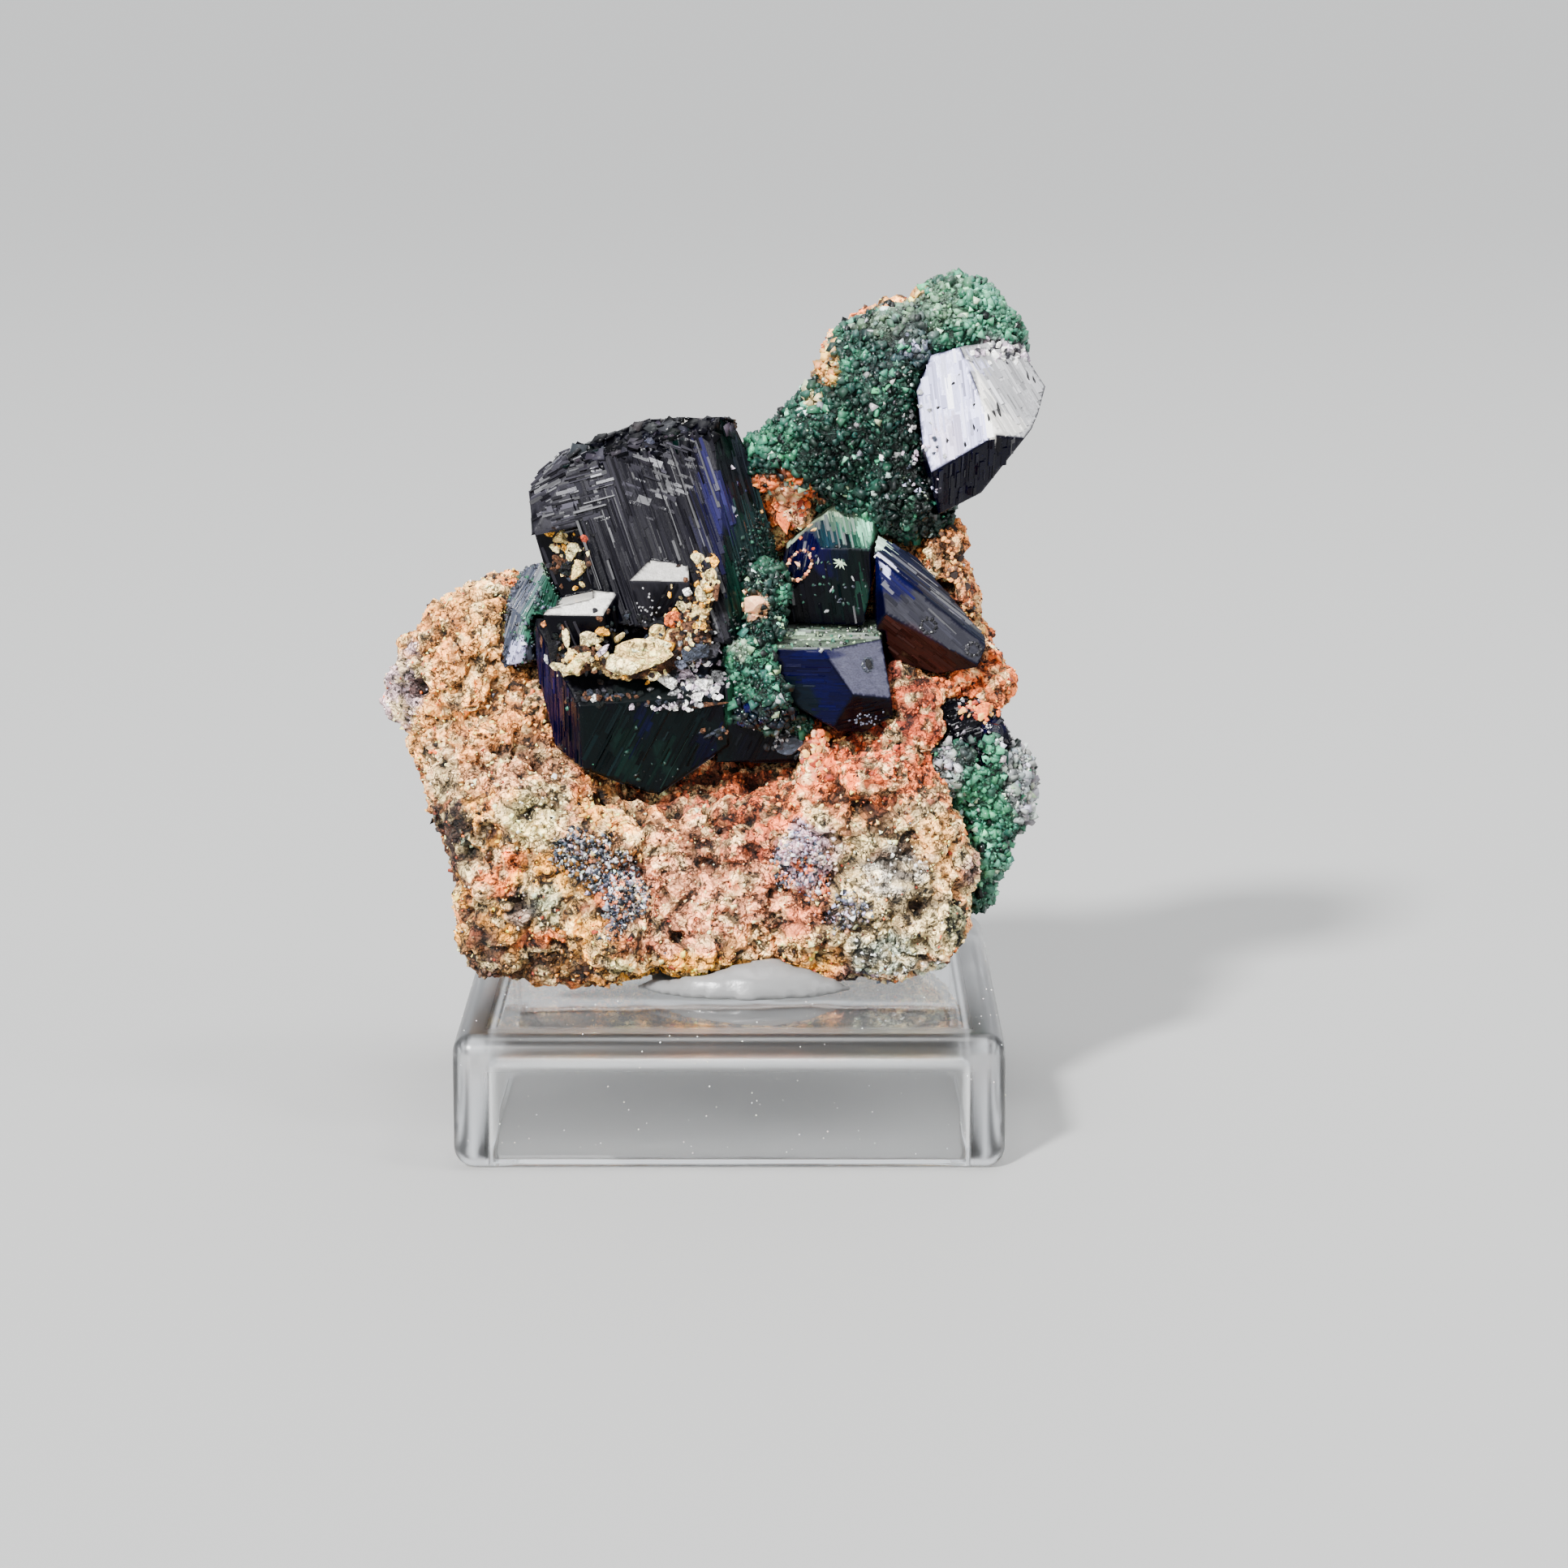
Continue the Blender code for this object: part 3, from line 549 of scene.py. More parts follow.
BOX_CORNERS = np.array(list(np.ndindex(2, 2, 2)), float) * 2 - 1
BOX_FACES = np.array([(0, 1, 3), (0, 3, 2), (4, 6, 7), (4, 7, 5), (0, 4, 5), (0, 5, 1),
                      (2, 3, 7), (2, 7, 6), (0, 2, 6), (0, 6, 4), (1, 5, 7), (1, 7, 3)])


def run_on(tree, start, normal, step):
    """How much of a step along a flat face stays on it."""
    for share in (1.0, 0.8, 0.6, 0.4, 0.25, 0.12):
        _, way, _, gap = tree.find_nearest(Vector(start + step * share))
        if gap < 0.04 and way.dot(Vector(normal)) > 0.99:
            return share
    return 0.0


def laths(bits, node, surface, along, where, count, widths, lengths, proud, tint=None, vary=0.4, pale=0.0,
          rough=(0.15, 0.45)):
    """Long thin flat-topped strips along a direction on a crystal's faces, which make its striations.

    proud is how far they stand out, and pale the share that is lighter than the rest.
    """
    tree, draw = SOLIDS[node], bits.draw
    tris = triangles(surface.mesh)
    a, b, c = (surface.points[tris[:, k]] for k in range(3))
    weight = np.linalg.norm(np.cross(b - a, c - a), axis=1) * np.clip(where[tris].min(axis=1), 0, None)
    if weight.sum() == 0:
        return
    axis = np.array(Vector(along).normalized())
    for pick in draw.choice(len(tris), count, p=weight / weight.sum()):
        width = widths[0] * (widths[1] / widths[0]) ** draw.random()
        length = lengths[0] * (lengths[1] / lengths[0]) ** draw.random()
        height = draw.uniform(*proud)
        near, normal, _, _ = tree.find_nearest(Vector((a[pick] + b[pick] + c[pick]) / 3))
        normal, start = np.array(normal), np.array(near)
        way = axis - (axis @ normal) * normal
        way /= np.linalg.norm(way)
        side = np.cross(normal, way)
        ahead = run_on(tree, start, normal, way * length / 2) * length / 2
        behind = run_on(tree, start, normal, -way * length / 2) * length / 2
        if ahead + behind < 1.5 * width:
            continue
        corner = BOX_CORNERS
        top = corner[:, 2] > 0
        reach = np.where(corner[:, 0] > 0, ahead, -behind) * np.where(top, 0.97, 1.0)
        rise = np.where(top, height * (1 + draw.normal(0, 0.48) * corner[:, 1]), -0.2)
        rise = np.where(top, np.clip(rise, 0.2 * height, None), rise)
        points = (start + reach[:, None] * way + (corner[:, 1] * width / 2)[:, None] * side
                  + rise[:, None] * normal)
        base = surface.colour[tris[pick, 0]] if tint is None else PALETTE[tint]
        if draw.random() < pale:
            base = base + 0.25 * (PALETTE["grey"] - base)
        shade = base * math.exp(draw.normal(0, vary))
        bits.add(points, BOX_FACES, np.tile(np.clip(shade, 0, 1), (len(BOX_FACES), 1)), draw.uniform(*rough))


# ---------------------------------------------------------------- materials
class Nodes:
    """The node tree of a material or of the world. Its methods add nodes and return their outputs."""

    def __init__(self, owner):
        owner.use_nodes = True
        self.owner, self.tree = owner, owner.node_tree
        self.place = self.add("TexCoord", {}, "Object")

    def add(self, kind, inputs, output, **settings):
        node = self.tree.nodes.new("ShaderNode" + kind)
        for key, value in settings.items():
            setattr(node, key, value)
        self.fill(node, inputs)
        return node.outputs[output]

    def fill(self, node, inputs):
        """Sets each input to its value, or links it where a socket is given."""
        for key, value in inputs.items():
            if isinstance(value, bpy.types.NodeSocket):
                self.tree.links.new(value, node.inputs[key])
            else:
                node.inputs[key].default_value = value

    def finish(self, inputs, main="Principled BSDF"):
        """Sets the main node's inputs and returns the material or the world."""
        self.fill(self.tree.nodes[main], inputs)
        return self.owner

    def painted(self, name, output):
        return self.add("Attribute", {}, output, attribute_name=name)

    def noise(self, place, size_mm, detail=3.0, rough=0.6):
        inputs = {"Vector": place, "Scale": 1 / (size_mm * MM), "Detail": detail, "Roughness": rough}
        return self.add("TexNoise", inputs, "Fac")

    def span(self, value, low, high, to_low, to_high):
        inputs = {"Value": value, "From Min": low, "From Max": high, "To Min": to_low, "To Max": to_high}
        return self.add("MapRange", inputs, "Result")

    def maths(self, operation, a, b=0.0):
        return self.add("Math", {0: a, 1: b}, "Value", operation=operation)

    def tint(self, light):
        """The painted colour times a light."""
        inputs = {0: self.painted("tint", "Color"), "Scale": light}
        return self.add("VectorMath", inputs, "Vector", operation="SCALE")

    def bump(self, height, deep_mm, strength, **under):
        """The normal of a height, on top of the Normal of another bump where one is given."""
        inputs = {"Height": height, "Distance": deep_mm * MM, "Strength": strength, **under}
        return self.add("Bump", inputs, "Normal")


def azurite(name, along):
    """A dark crystal with fine striations along a direction, over what is painted on it."""
    look = Nodes(bpy.data.materials.new("azurite_" + name))
    turn = Vector(along).to_track_quat("Z", "Y").inverted().to_euler()
    lined_up = look.add("Mapping", {"Vector": look.place, "Rotation": turn}, "Vector")
    place = look.add("Mapping", {"Vector": lined_up, "Scale": (1, 1, 0.03)}, "Vector")
    grain = look.noise(place, STRIA, 4.0, 0.65)
    patches = look.noise(place, 4 * STRIA, 2.0)
    light = look.maths("MULTIPLY", look.span(grain, 0.3, 0.7, 0.7, 1.3),
                       look.span(patches, 0.3, 0.7, 0.85, 1.15))
    rough = look.maths("MULTIPLY", look.painted("rough", "Fac"), look.span(patches, 0.3, 0.7, 1.3, 0.7))
    coarse = look.bump(patches, 0.012, 0.7)
    return look.finish({
        "Base Color": look.tint(light), "Roughness": rough, "IOR": 1.6,
        "Specular IOR Level": AZURITE_SPECULAR, "Normal": look.bump(grain, 0.006, 0.7, Normal=coarse)})


def crumbled(name, size_mm, low_light, gap_shade, speck_shade, specular):
    """A painted mineral that breaks into crumbs of that size, with gaps, seams and specks that are sunk in
    and painted darker.
    """
    look = Nodes(bpy.data.materials.new(name))
    scale = 1 / (size_mm * MM)
    wander = look.add("TexNoise", {"Vector": look.place, "Scale": scale / 1.6}, "Color")
    place = look.add("VectorMath", {0: wander, 1: (1.3 / scale,) * 3, 2: look.place}, "Vector",
                     operation="MULTIPLY_ADD")
    crumb = look.add("TexVoronoi", {"Vector": place, "Scale": scale}, "Color")
    edge = look.add("TexVoronoi", {"Vector": place, "Scale": scale}, "Distance", feature="DISTANCE_TO_EDGE")
    seam = look.maths("ABSOLUTE", look.maths("SUBTRACT", look.noise(place, 2.4 * size_mm, 4.0), 0.5))
    grain = look.noise(look.place, 0.09, 3.0, 0.7)
    sunk_specks = look.noise(place, 1.5 * size_mm, 5.0, 0.65)
    light = look.span(look.add("SeparateColor", {"Color": crumb}, "Red"), 0, 1, low_light, 1.6 * low_light)
    # Painted shade, in part: the gaps, seams and sunk specks are darkened both for the mineral's own dark and
    # for the shade in these hollows; the grain only varies the tone.
    for value, low, high, shade, most in (
            (edge, 0.01, 0.12, gap_shade, 1.0), (seam, 0.008, 0.035, speck_shade, 1.0),
            (sunk_specks, 0.40, 0.45, speck_shade, 1.0), (grain, 0.3, 0.7, 0.8, 1.2)):
        light = look.maths("MULTIPLY", light, look.span(value, low, high, shade, most))
    height = look.maths("MINIMUM", edge, look.maths("ADD", seam, seam))
    holes = look.bump(look.span(sunk_specks, 0.34, 0.6, 0, 1), 0.25, 0.8)
    gaps = look.bump(look.span(height, 0, 0.25, 0, 1), 0.12, 0.8, Normal=holes)
    return look.finish({
        "Base Color": look.tint(light), "Roughness": look.painted("rough", "Fac"),
        "Specular IOR Level": specular, "Normal": look.bump(grain, 0.03, 0.6, Normal=gaps)})


def grain_material(name, specular):
    """Small flat-faced grains, each with one colour and roughness of its own."""
    look = Nodes(bpy.data.materials.new(name))
    return look.finish({
        "Base Color": look.painted("tint", "Color"), "Roughness": look.painted("rough", "Fac"),
        "Specular IOR Level": specular, "Normal": look.bump(look.noise(look.place, 0.12, 2.0), 0.03, 0.5)})


def clear_plastic():
    """Clear moulded plastic, hazy along the rim of its lid and at its corners."""
    look = Nodes(bpy.data.materials.new("clear_plastic"))
    rim = []
    for axis, middle in (("X", BASE_MIDDLE.x), ("Y", BASE_MIDDLE.y)):
        away = look.maths("SUBTRACT", look.add("SeparateXYZ", {0: look.place}, axis), middle * MM)
        rim.append(look.span(look.maths("ABSOLUTE", away), RIM_HAZE[0] * MM, RIM_HAZE[1] * MM, 0, 1))
    lid = look.span(look.add("SeparateXYZ", {0: look.place}, "Z"), LID_HAZE[0] * MM, LID_HAZE[1] * MM, 0, 1)
    band = look.maths("MULTIPLY", look.maths("MAXIMUM", *rim), lid)
    haze = look.maths("MAXIMUM", band, look.maths("MULTIPLY", *rim))
    return look.finish({
        "Base Color": (0.97, 0.98, 0.985, 1), "Transmission Weight": 1.0, "IOR": 1.49,
        "Roughness": look.span(haze, 0, 1, 0.03, 0.3),
        "Normal": look.bump(look.noise(look.place, 5.0, 1.0), 0.05, 0.25)})


def putty_material():
    look = Nodes(bpy.data.materials.new("putty"))
    return look.finish({
        "Base Color": (0.30, 0.30, 0.30, 1), "Transmission Weight": 0.35, "Roughness": 0.32,
        "Subsurface Weight": 0.5, "Subsurface Radius": (1.0, 1.0, 1.0), "Subsurface Scale": 2 * MM,
        "Normal": look.bump(look.noise(look.place, 1.2), 0.12, 0.5)})


STRIA = 0.07  # width of the fine striations in the azurite's shader
AZURITE_SPECULAR = 0.07
RIM_HAZE = (13.4, 14.2)  # distances from the base's middle between which the haze at its rim sets in
LID_HAZE = (5.4, 6.0)  # heights between which it does
STONE = crumbled("gossan", 0.5, 1.95, 0.5, 0.1, 0.3)
MALACHITE = crumbled("malachite", 0.42, 0.85, 0.35, 0.5, 0.4)
CLAY = crumbled("clay", 0.4, 1.25, 0.6, 0.25, 0.25)
GRAINS = grain_material("mineral_grains", 0.4)
STRIAE = grain_material("azurite_striae", 0.09)

# ---------------------------------------------------------------- stone
def creases(points, wavelength, width, seed):
    """1 along thin wandering lines."""
    return 1 - ramp(np.abs(fractal(points, wavelength, 3, seed)), 0, width)


def warped(points, amount, wavelength, seed):
    """Points pushed about, so that a pattern read at them is irregular."""
    shift = [fractal(points, wavelength, 2, seed + 7 * k) for k in range(3)]
    return points + amount * np.stack(shift, axis=1)


def rough_stone():
    stone = Surface(fine_copy("matrix_rock", "gossan_matrix", 0.27, 8), "tan", 0.8)
    p = stone.rest
    bent = warped(p, 0.9, 2.0, 5)
    near, second, _ = cells(bent, 2.1, 11)
    small_near, small_second, number = cells(warped(p, 0.4, 0.9, 6), 0.85, 17)
    knobs = 0.62 * (0.6 - near) + 0.26 * (0.6 - small_near)
    gaps = np.maximum(ramp(0.16 - (second - near), 0, 0.14),
                      0.6 * ramp(0.12 - (small_second - small_near), 0, 0.1))
    pit_near, _, pit_number = cells(p, 2.3, 23)
    pits = ramp(pit_number, 0.5, 0.7) * (1 - ramp(pit_near + 0.2 * fractal(p, 0.8, 2, 24), 0.1, 0.42))
    for i, (u, v, radius) in enumerate(STONE_PITS):
        reach = stone.away_from(u, v) / radius + 0.25 * fractal(p, 0.9, 2, 26 + i)
        pits = np.maximum(pits, 1 - ramp(reach, 0.5, 1.05))
    crease = creases(p, 2.4, 0.08, 43)
    stone.lift(0.12 + knobs + 0.5 * fractal(p, 3.8, 4, 41) - 0.8 * pits - 0.3 * crease - 0.22 * gaps)
    stone.scramble(0.07, 45)

    stone.mottle("sand", 1.0, 6.0, 3, 51, -0.1, 0.35)
    stone.mottle("orange", 0.8, 3.0, 4, 52, 0.05, 0.3)
    stone.mottle("cream", 0.8, 2.4, 4, 53, 0.15, 0.35)
    stone.mottle("red_brown", 0.7, 2.6, 4, 54, 0.2, 0.4)
    stone.mottle("grey", 0.6, 2.2, 4, 55, 0.25, 0.4)
    stone.paint_spots(STONE_SPOTS, 60)
    stone.zone = stone.colour.copy()
    dusty = ramp(fractal(p, 4.5, 2, 93), -0.35, 0.25)
    stone.paint(0.7 * ramp(smooth_noise(p, 0.5, 92), 0.15, 0.4), "cream")
    stone.paint(0.9 * dusty * ramp(-smooth_noise(p, 0.6, 91), 0.3, 0.45), "brown")
    stone.paint(0.4 * dusty * ramp(number, 0.12, 0.05), "red_brown")
    # Painted shade: the gaps between the knobs, the pits and the creases are painted dark brown, partly the
    # stone's own dark and partly the shade in these hollows.
    stone.paint(0.9 * gaps, "dark_brown")
    stone.paint(0.95 * pits, "dark_brown")
    stone.paint(0.8 * crease, "dark_brown")
    # Painted shade: the colour is darkened, down to 0.72, towards the hollows between the knobs.
    stone.shade(0.72 + 0.28 * ramp(knobs, -0.2, 0.25))
    stone.store_faces(0.12, 46)
    return stone, pits


# Pits that stand out: u, v, radius
STONE_PITS = (
    (612, 917, 0.6), (661, 944, 0.5), (684, 953, 0.7), (869, 1068, 0.7), (604, 1030, 0.8),
    (636, 1112, 0.8), (925, 1055, 0.6), (1060, 1000, 0.8), (1135, 1120, 0.8), (838, 1162, 0.6),
    (560, 858, 0.5), (512, 850, 0.7),
)
# Colour patches of the stone's front: u, v, half width, half height, turn, colour, strength
STONE_SPOTS = (
    (560, 850, 95, 130, 0, "peach", 0.9),
    (588, 770, 50, 45, 0, "peach", 0.8),
    (540, 800, 40, 50, 0, "sand", 0.7),
    (560, 940, 50, 50, 0, "sand", 0.8),
    (498, 850, 18, 46, 10, "lilac", 0.8),
    (500, 860, 10, 40, 20, "dark_brown", 0.6),
    (505, 835, 20, 12, -40, "dark_grey", 0.6),
    (610, 905, 60, 70, 0, "sand", 0.6),
    (640, 900, 30, 70, 0, "tan", 0.6),
    (545, 945, 20, 46, -20, "sage", 0.5),
    (640, 950, 60, 40, 0, "pink", 0.6),
    (655, 1090, 96, 120, 0, "ochre", 0.85),
    (655, 1005, 42, 38, 0, "cream", 0.9),
    (655, 1010, 30, 26, 0, "yellow", 0.7),
    (612, 1075, 26, 36, 0, "orange", 0.8),
    (660, 1160, 40, 14, -20, "orange", 0.8),
    (672, 1110, 30, 28, 0, "sage", 0.8),
    (640, 1120, 16, 22, 0, "grey", 0.7),
    (600, 1150, 26, 40, -20, "brown", 0.7),
    (640, 1192, 70, 24, -8, "dark_grey", 0.7),
    (704, 1022, 20, 30, 0, "pink", 0.9),
    (735, 1062, 44, 40, 20, "ink", 0.85),
    (772, 1112, 22, 46, 10, "dark_grey", 0.8),
    (900, 1090, 130, 110, 0, "salmon", 0.9),
    (860, 1120, 90, 60, 0, "pink", 0.5),
    (760, 1000, 60, 40, 0, "peach", 0.7),
    (840, 1040, 60, 50, 0, "pink", 0.5),
    (960, 940, 180, 46, -8, "red_brown", 0.8),
    (940, 1000, 60, 40, 0, "orange", 0.7),
    (1100, 890, 60, 80, 10, "red_brown", 0.9),
    (905, 1020, 60, 40, 0, "red_brown", 0.45),
    (932, 1052, 14, 16, 0, "red_brown", 0.9),
    (1080, 960, 90, 44, -10, "orange", 0.7),
    (1000, 1055, 44, 40, 0, "lilac", 0.8),
    (988, 1064, 12, 10, 0, "orange", 0.9),
    (1110, 1090, 86, 90, 0, "cream", 0.9),
    (1150, 1050, 34, 46, 0, "peach", 0.8),
    (1100, 1070, 40, 30, 0, "white", 0.7),
    (1130, 1112, 40, 20, 0, "dark_grey", 0.7),
    (1040, 1128, 32, 20, 0, "slate", 0.9),
    (1090, 1180, 60, 24, 0, "pale_mint", 0.75),
    (1150, 1150, 34, 20, 0, "cream", 0.6),
    (1176, 1140, 12, 28, 0, "green", 0.8),
    (1075, 1212, 28, 11, 0, "blue_grey", 0.95),
    (840, 1195, 130, 20, 0, "ochre", 0.9),
    (765, 1188, 14, 12, 0, "yellow", 0.9),
    (960, 1172, 70, 30, 0, "peach", 0.6),
    (1000, 1190, 40, 14, 0, "ochre", 0.7),
    (690, 1200, 60, 20, 0, "brown", 0.6),
    (1180, 725, 40, 110, 0, "tan", 0.9),
    (1180, 760, 20, 50, 0, "red_brown", 0.6),
    (1210, 840, 40, 50, 0, "orange", 0.85),
    (1160, 700, 16, 40, 0, "dark_brown", 0.5),
    (975, 632, 50, 56, 0, "orange", 0.9),
    (985, 622, 25, 22, 0, "pink", 0.8),
    (945, 600, 20, 20, 0, "peach", 0.8),
    (1020, 435, 30, 40, 0, "orange", 0.9),
    (1100, 368, 40, 20, 0, "peach", 0.9),
    (560, 1030, 22, 58, -14, "dark_grey", 0.9),
    (556, 1010, 14, 34, -14, "black_green", 0.8),
    (574, 1045, 8, 16, 0, "sage", 0.7),
    (600, 1026, 16, 14, 0, "dark_brown", 0.85),
    (590, 1180, 30, 34, -30, "dark_grey", 0.7),
    (1098, 915, 56, 40, -10, "red_brown", 0.5),
)
# Rusty pieces set on the stone: u, v, width, height, turn, colour
STONE_CHUNKS = ((1209, 876, 30, 22, 0, "orange"), (976, 612, 34, 30, 20, "salmon"),
                (968, 640, 24, 40, 0, "orange"))
# Crumbs gathered around a place: u, v, half width, half height, how many, colours
STONE_CRUMBS = (
    (1008, 936, 22, 34, 70, ("salmon", "orange", "pink", "peach", "red_brown")),
    (1010, 916, 12, 20, 30, ("salmon", "orange", "pink", "peach")),
    (1205, 874, 26, 16, 40, ("orange", "peach", "salmon", "red_brown")),
    (980, 628, 24, 40, 90, ("orange", "salmon", "peach", "pink", "red_brown", "white")),
)
# Round knobs of the right column: u, v, radius
STONE_KNOBS = ((1174, 655, 14), (1182, 686, 9), (1176, 708, 8), (1190, 724, 9), (1196, 750, 8))


def dress_stone():
    stone, pits = rough_stone()
    keep(stone.obj, STONE, "gossan", "matrix_rock")
    clusters = (0.1 + ramp(fractal(stone.rest, 1.6, 3, 71), -0.1, 0.35)) * (1 - 0.95 * pits)
    accents = {"cream": 4, "brown": 4, "red_brown": 2, "orange": 1, "dark_brown": 3}
    scatter("gossan_grains", "gossan", stone, 6500, (0.16, 0.46), 5, where=clusters, gain=1.5, sink=0.45,
            mixture=accents, own=0.8)
    scatter("gossan_sand", "gossan", stone, 8000, (0.10, 0.24), 6, where=1.1 - clusters, gain=1.7,
            mixture=accents, own=0.7, vary=0.45, tilt=1.5, rough=(0.15, 0.7))
    blue = stone.spot(728, 1058, 40, 32, 20, seed=81) + stone.spot(772, 1112, 20, 36, 20, seed=83)
    # The white grains among the blue microcrystals are partly pale grains and partly painted glints.
    scatter("blue_microcrystals", "azurite", stone, 1500, (0.10, 0.42), 7, where=blue + 0.0002, own=0.15,
            mixture={"blue_grey": 4, "lilac": 2, "slate": 6, "white": 4, "ink": 6, "grey": 5},
            vary=0.35, rough=(0.08, 0.35), jitter=0.5, tilt=1.6)
    pale = stone.spot(990, 1062, 36, 36, seed=82) + 0.6 * stone.spot(1045, 1126, 36, 22, seed=84)
    scatter("lilac_microcrystals", "azurite", stone, 1000, (0.10, 0.42), 8, where=pale + 0.0002, own=0.45,
            mixture={"blue_grey": 4, "lilac": 5, "lavender": 2, "white": 1, "slate": 4},
            vary=0.35, rough=(0.1, 0.4), jitter=0.5, tilt=1.6)
    bits = Bits(90)
    for u, v, radius in STONE_KNOBS:
        bits.chunk(u, v, 1.4 * radius, 1.4 * radius, 0, "dark_brown", deep=0.3, sink=0.3)
        bits.ring(u, v, radius, radius, 0, ("tan", "peach", "brown"), 0.7 * radius)
    for row in STONE_CHUNKS:
        bits.chunk(*row, deep=0.6, cuts=14, vary=0.35, sink=0.45)
    for row in STONE_CRUMBS:
        bits.crumbs(*row, (4, 12))
    bits.chunk(684, 957, 10, 10, 0, "white", rough=0.2, deep=0.8)
    bits.finish("gossan_knobs", GRAINS, "gossan")


# ---------------------------------------------------------------- azurite crystals
# Directions of the large blocks' striations and steps
ALONG = (0.35, 0.0, -0.94)
LEVEL = (0.97, 0.0, 0.25)
ACROSS = (0.8, 0.0, -0.3)
LOW = (-0.45, 0.0, -0.9)
DULL = (0.25, 0.55)  # roughness of the striae on the low faces
# crystal: (azimuth, elevation of a face, colour, strength, roughness), ...
FACES = {
    "main": (
        (-8, 14, "ink", 1.0, 0.2), (58, 12, "black_green", 0.9, 0.3), (3, 42, "ink", 0.95, 0.95),
        # Painted highlight: the steps' top faces (-4, 50) and (-90, 78) are painted white for the overhead
        # light that they mirror.
        (7, -10, "ink", 0.8, 0.3), (-62, -8, "navy", 1.0, 0.25), (-4, 50, "white", 0.6, 0.1),
        (-90, 78, "white", 0.6, 0.1),
    ),
    "left": (
        (-18, 27, "slate", 0.6, 0.3), (86, 26, "green", 0.6, 0.6), (26, 6, "deep_green", 0.7, 0.5),
    ),
    "coated": (
        (-5, -4, "ink", 1.0, 0.25), (-6, 48, "green", 0.6, 0.5), (-46, 22, "navy", 1.0, 0.2),
        (-90, 45, "sage", 0.6, 0.6), (-90, 51, "sage", 0.6, 0.6),
    ),
    "wedge": (
        # Painted highlight: the front face (10, 18) is painted a little grey for the light that it mirrors.
        (50, 46, "slate", 0.5, 0.35), (10, 18, "grey", 0.06, 0.2), (-21, -32, "dark_brown", 0.9, 0.5),
        (-90, 12, "royal", 0.7, 0.2),
    ),
    "tabular": (
        # Painted reflection: the facet (32, 18) is painted a little lavender for the light that it mirrors.
        (2, 82, "sage", 0.15, 0.7), (-8, -8, "royal", 0.3, 0.2), (32, 18, "lavender", 0.08, 0.1),
        (24, -24, "ink", 0.9, 0.2), (-73, -53, "black_green", 0.9, 0.5), (-71, -58, "navy", 0.9, 0.4),
        (-48, -6, "deep_green", 0.9, 0.6),
    ),
    "crest": (
        # Painted highlight: the left face (-18, 22) is painted lavender and the right face (38, 35) grey for
        # the light that they mirror.
        (-18, 22, "lavender", 0.9, 0.16), (38, 35, "grey", 0.9, 0.18), (25, -40, "navy", 1.0, 0.25),
    ),
    "side": (
        (4, 28, "ink", 0.8, 0.2), (48, 12, "navy", 0.9, 0.2),
    ),
}
# Patches of the large blocks: u, v, half width, half height, turn, colour, strength, roughness
MAIN_SPOTS = (
    (820, 640, 90, 110, 0, "dark_grey", 0.4, 0.22),
    (705, 598, 60, 60, 0, "dark_grey", 0.9, 0.3),
    (880, 612, 20, 46, -20, "violet", 0.7, 0.2),
    (870, 660, 20, 30, -20, "indigo", 0.6, 0.2),
    (925, 560, 18, 46, -14, "slate", 0.4, 0.4),
    (932, 690, 34, 90, 14, "deep_green", 0.9, 0.6),
    (925, 660, 20, 40, 14, "slate", 0.4, 0.5),
    (672, 850, 20, 60, -10, "indigo", 0.6, 0.25),
    (800, 910, 90, 76, 0, "black_green", 0.6, 0.4),
    (770, 930, 12, 36, -20, "deep_green", 0.2, 0.4),
    (820, 940, 10, 26, -20, "deep_green", 0.2, 0.4),
    (793, 888, 7, 16, 0, "indigo", 0.4, 0.2),
    (870, 920, 16, 14, 0, "navy", 0.9, 0.2),
    (902, 850, 7, 40, 4, "bright_green", 0.6, 0.5),
    (860, 805, 30, 22, 0, "slate", 0.8, 0.35),
)


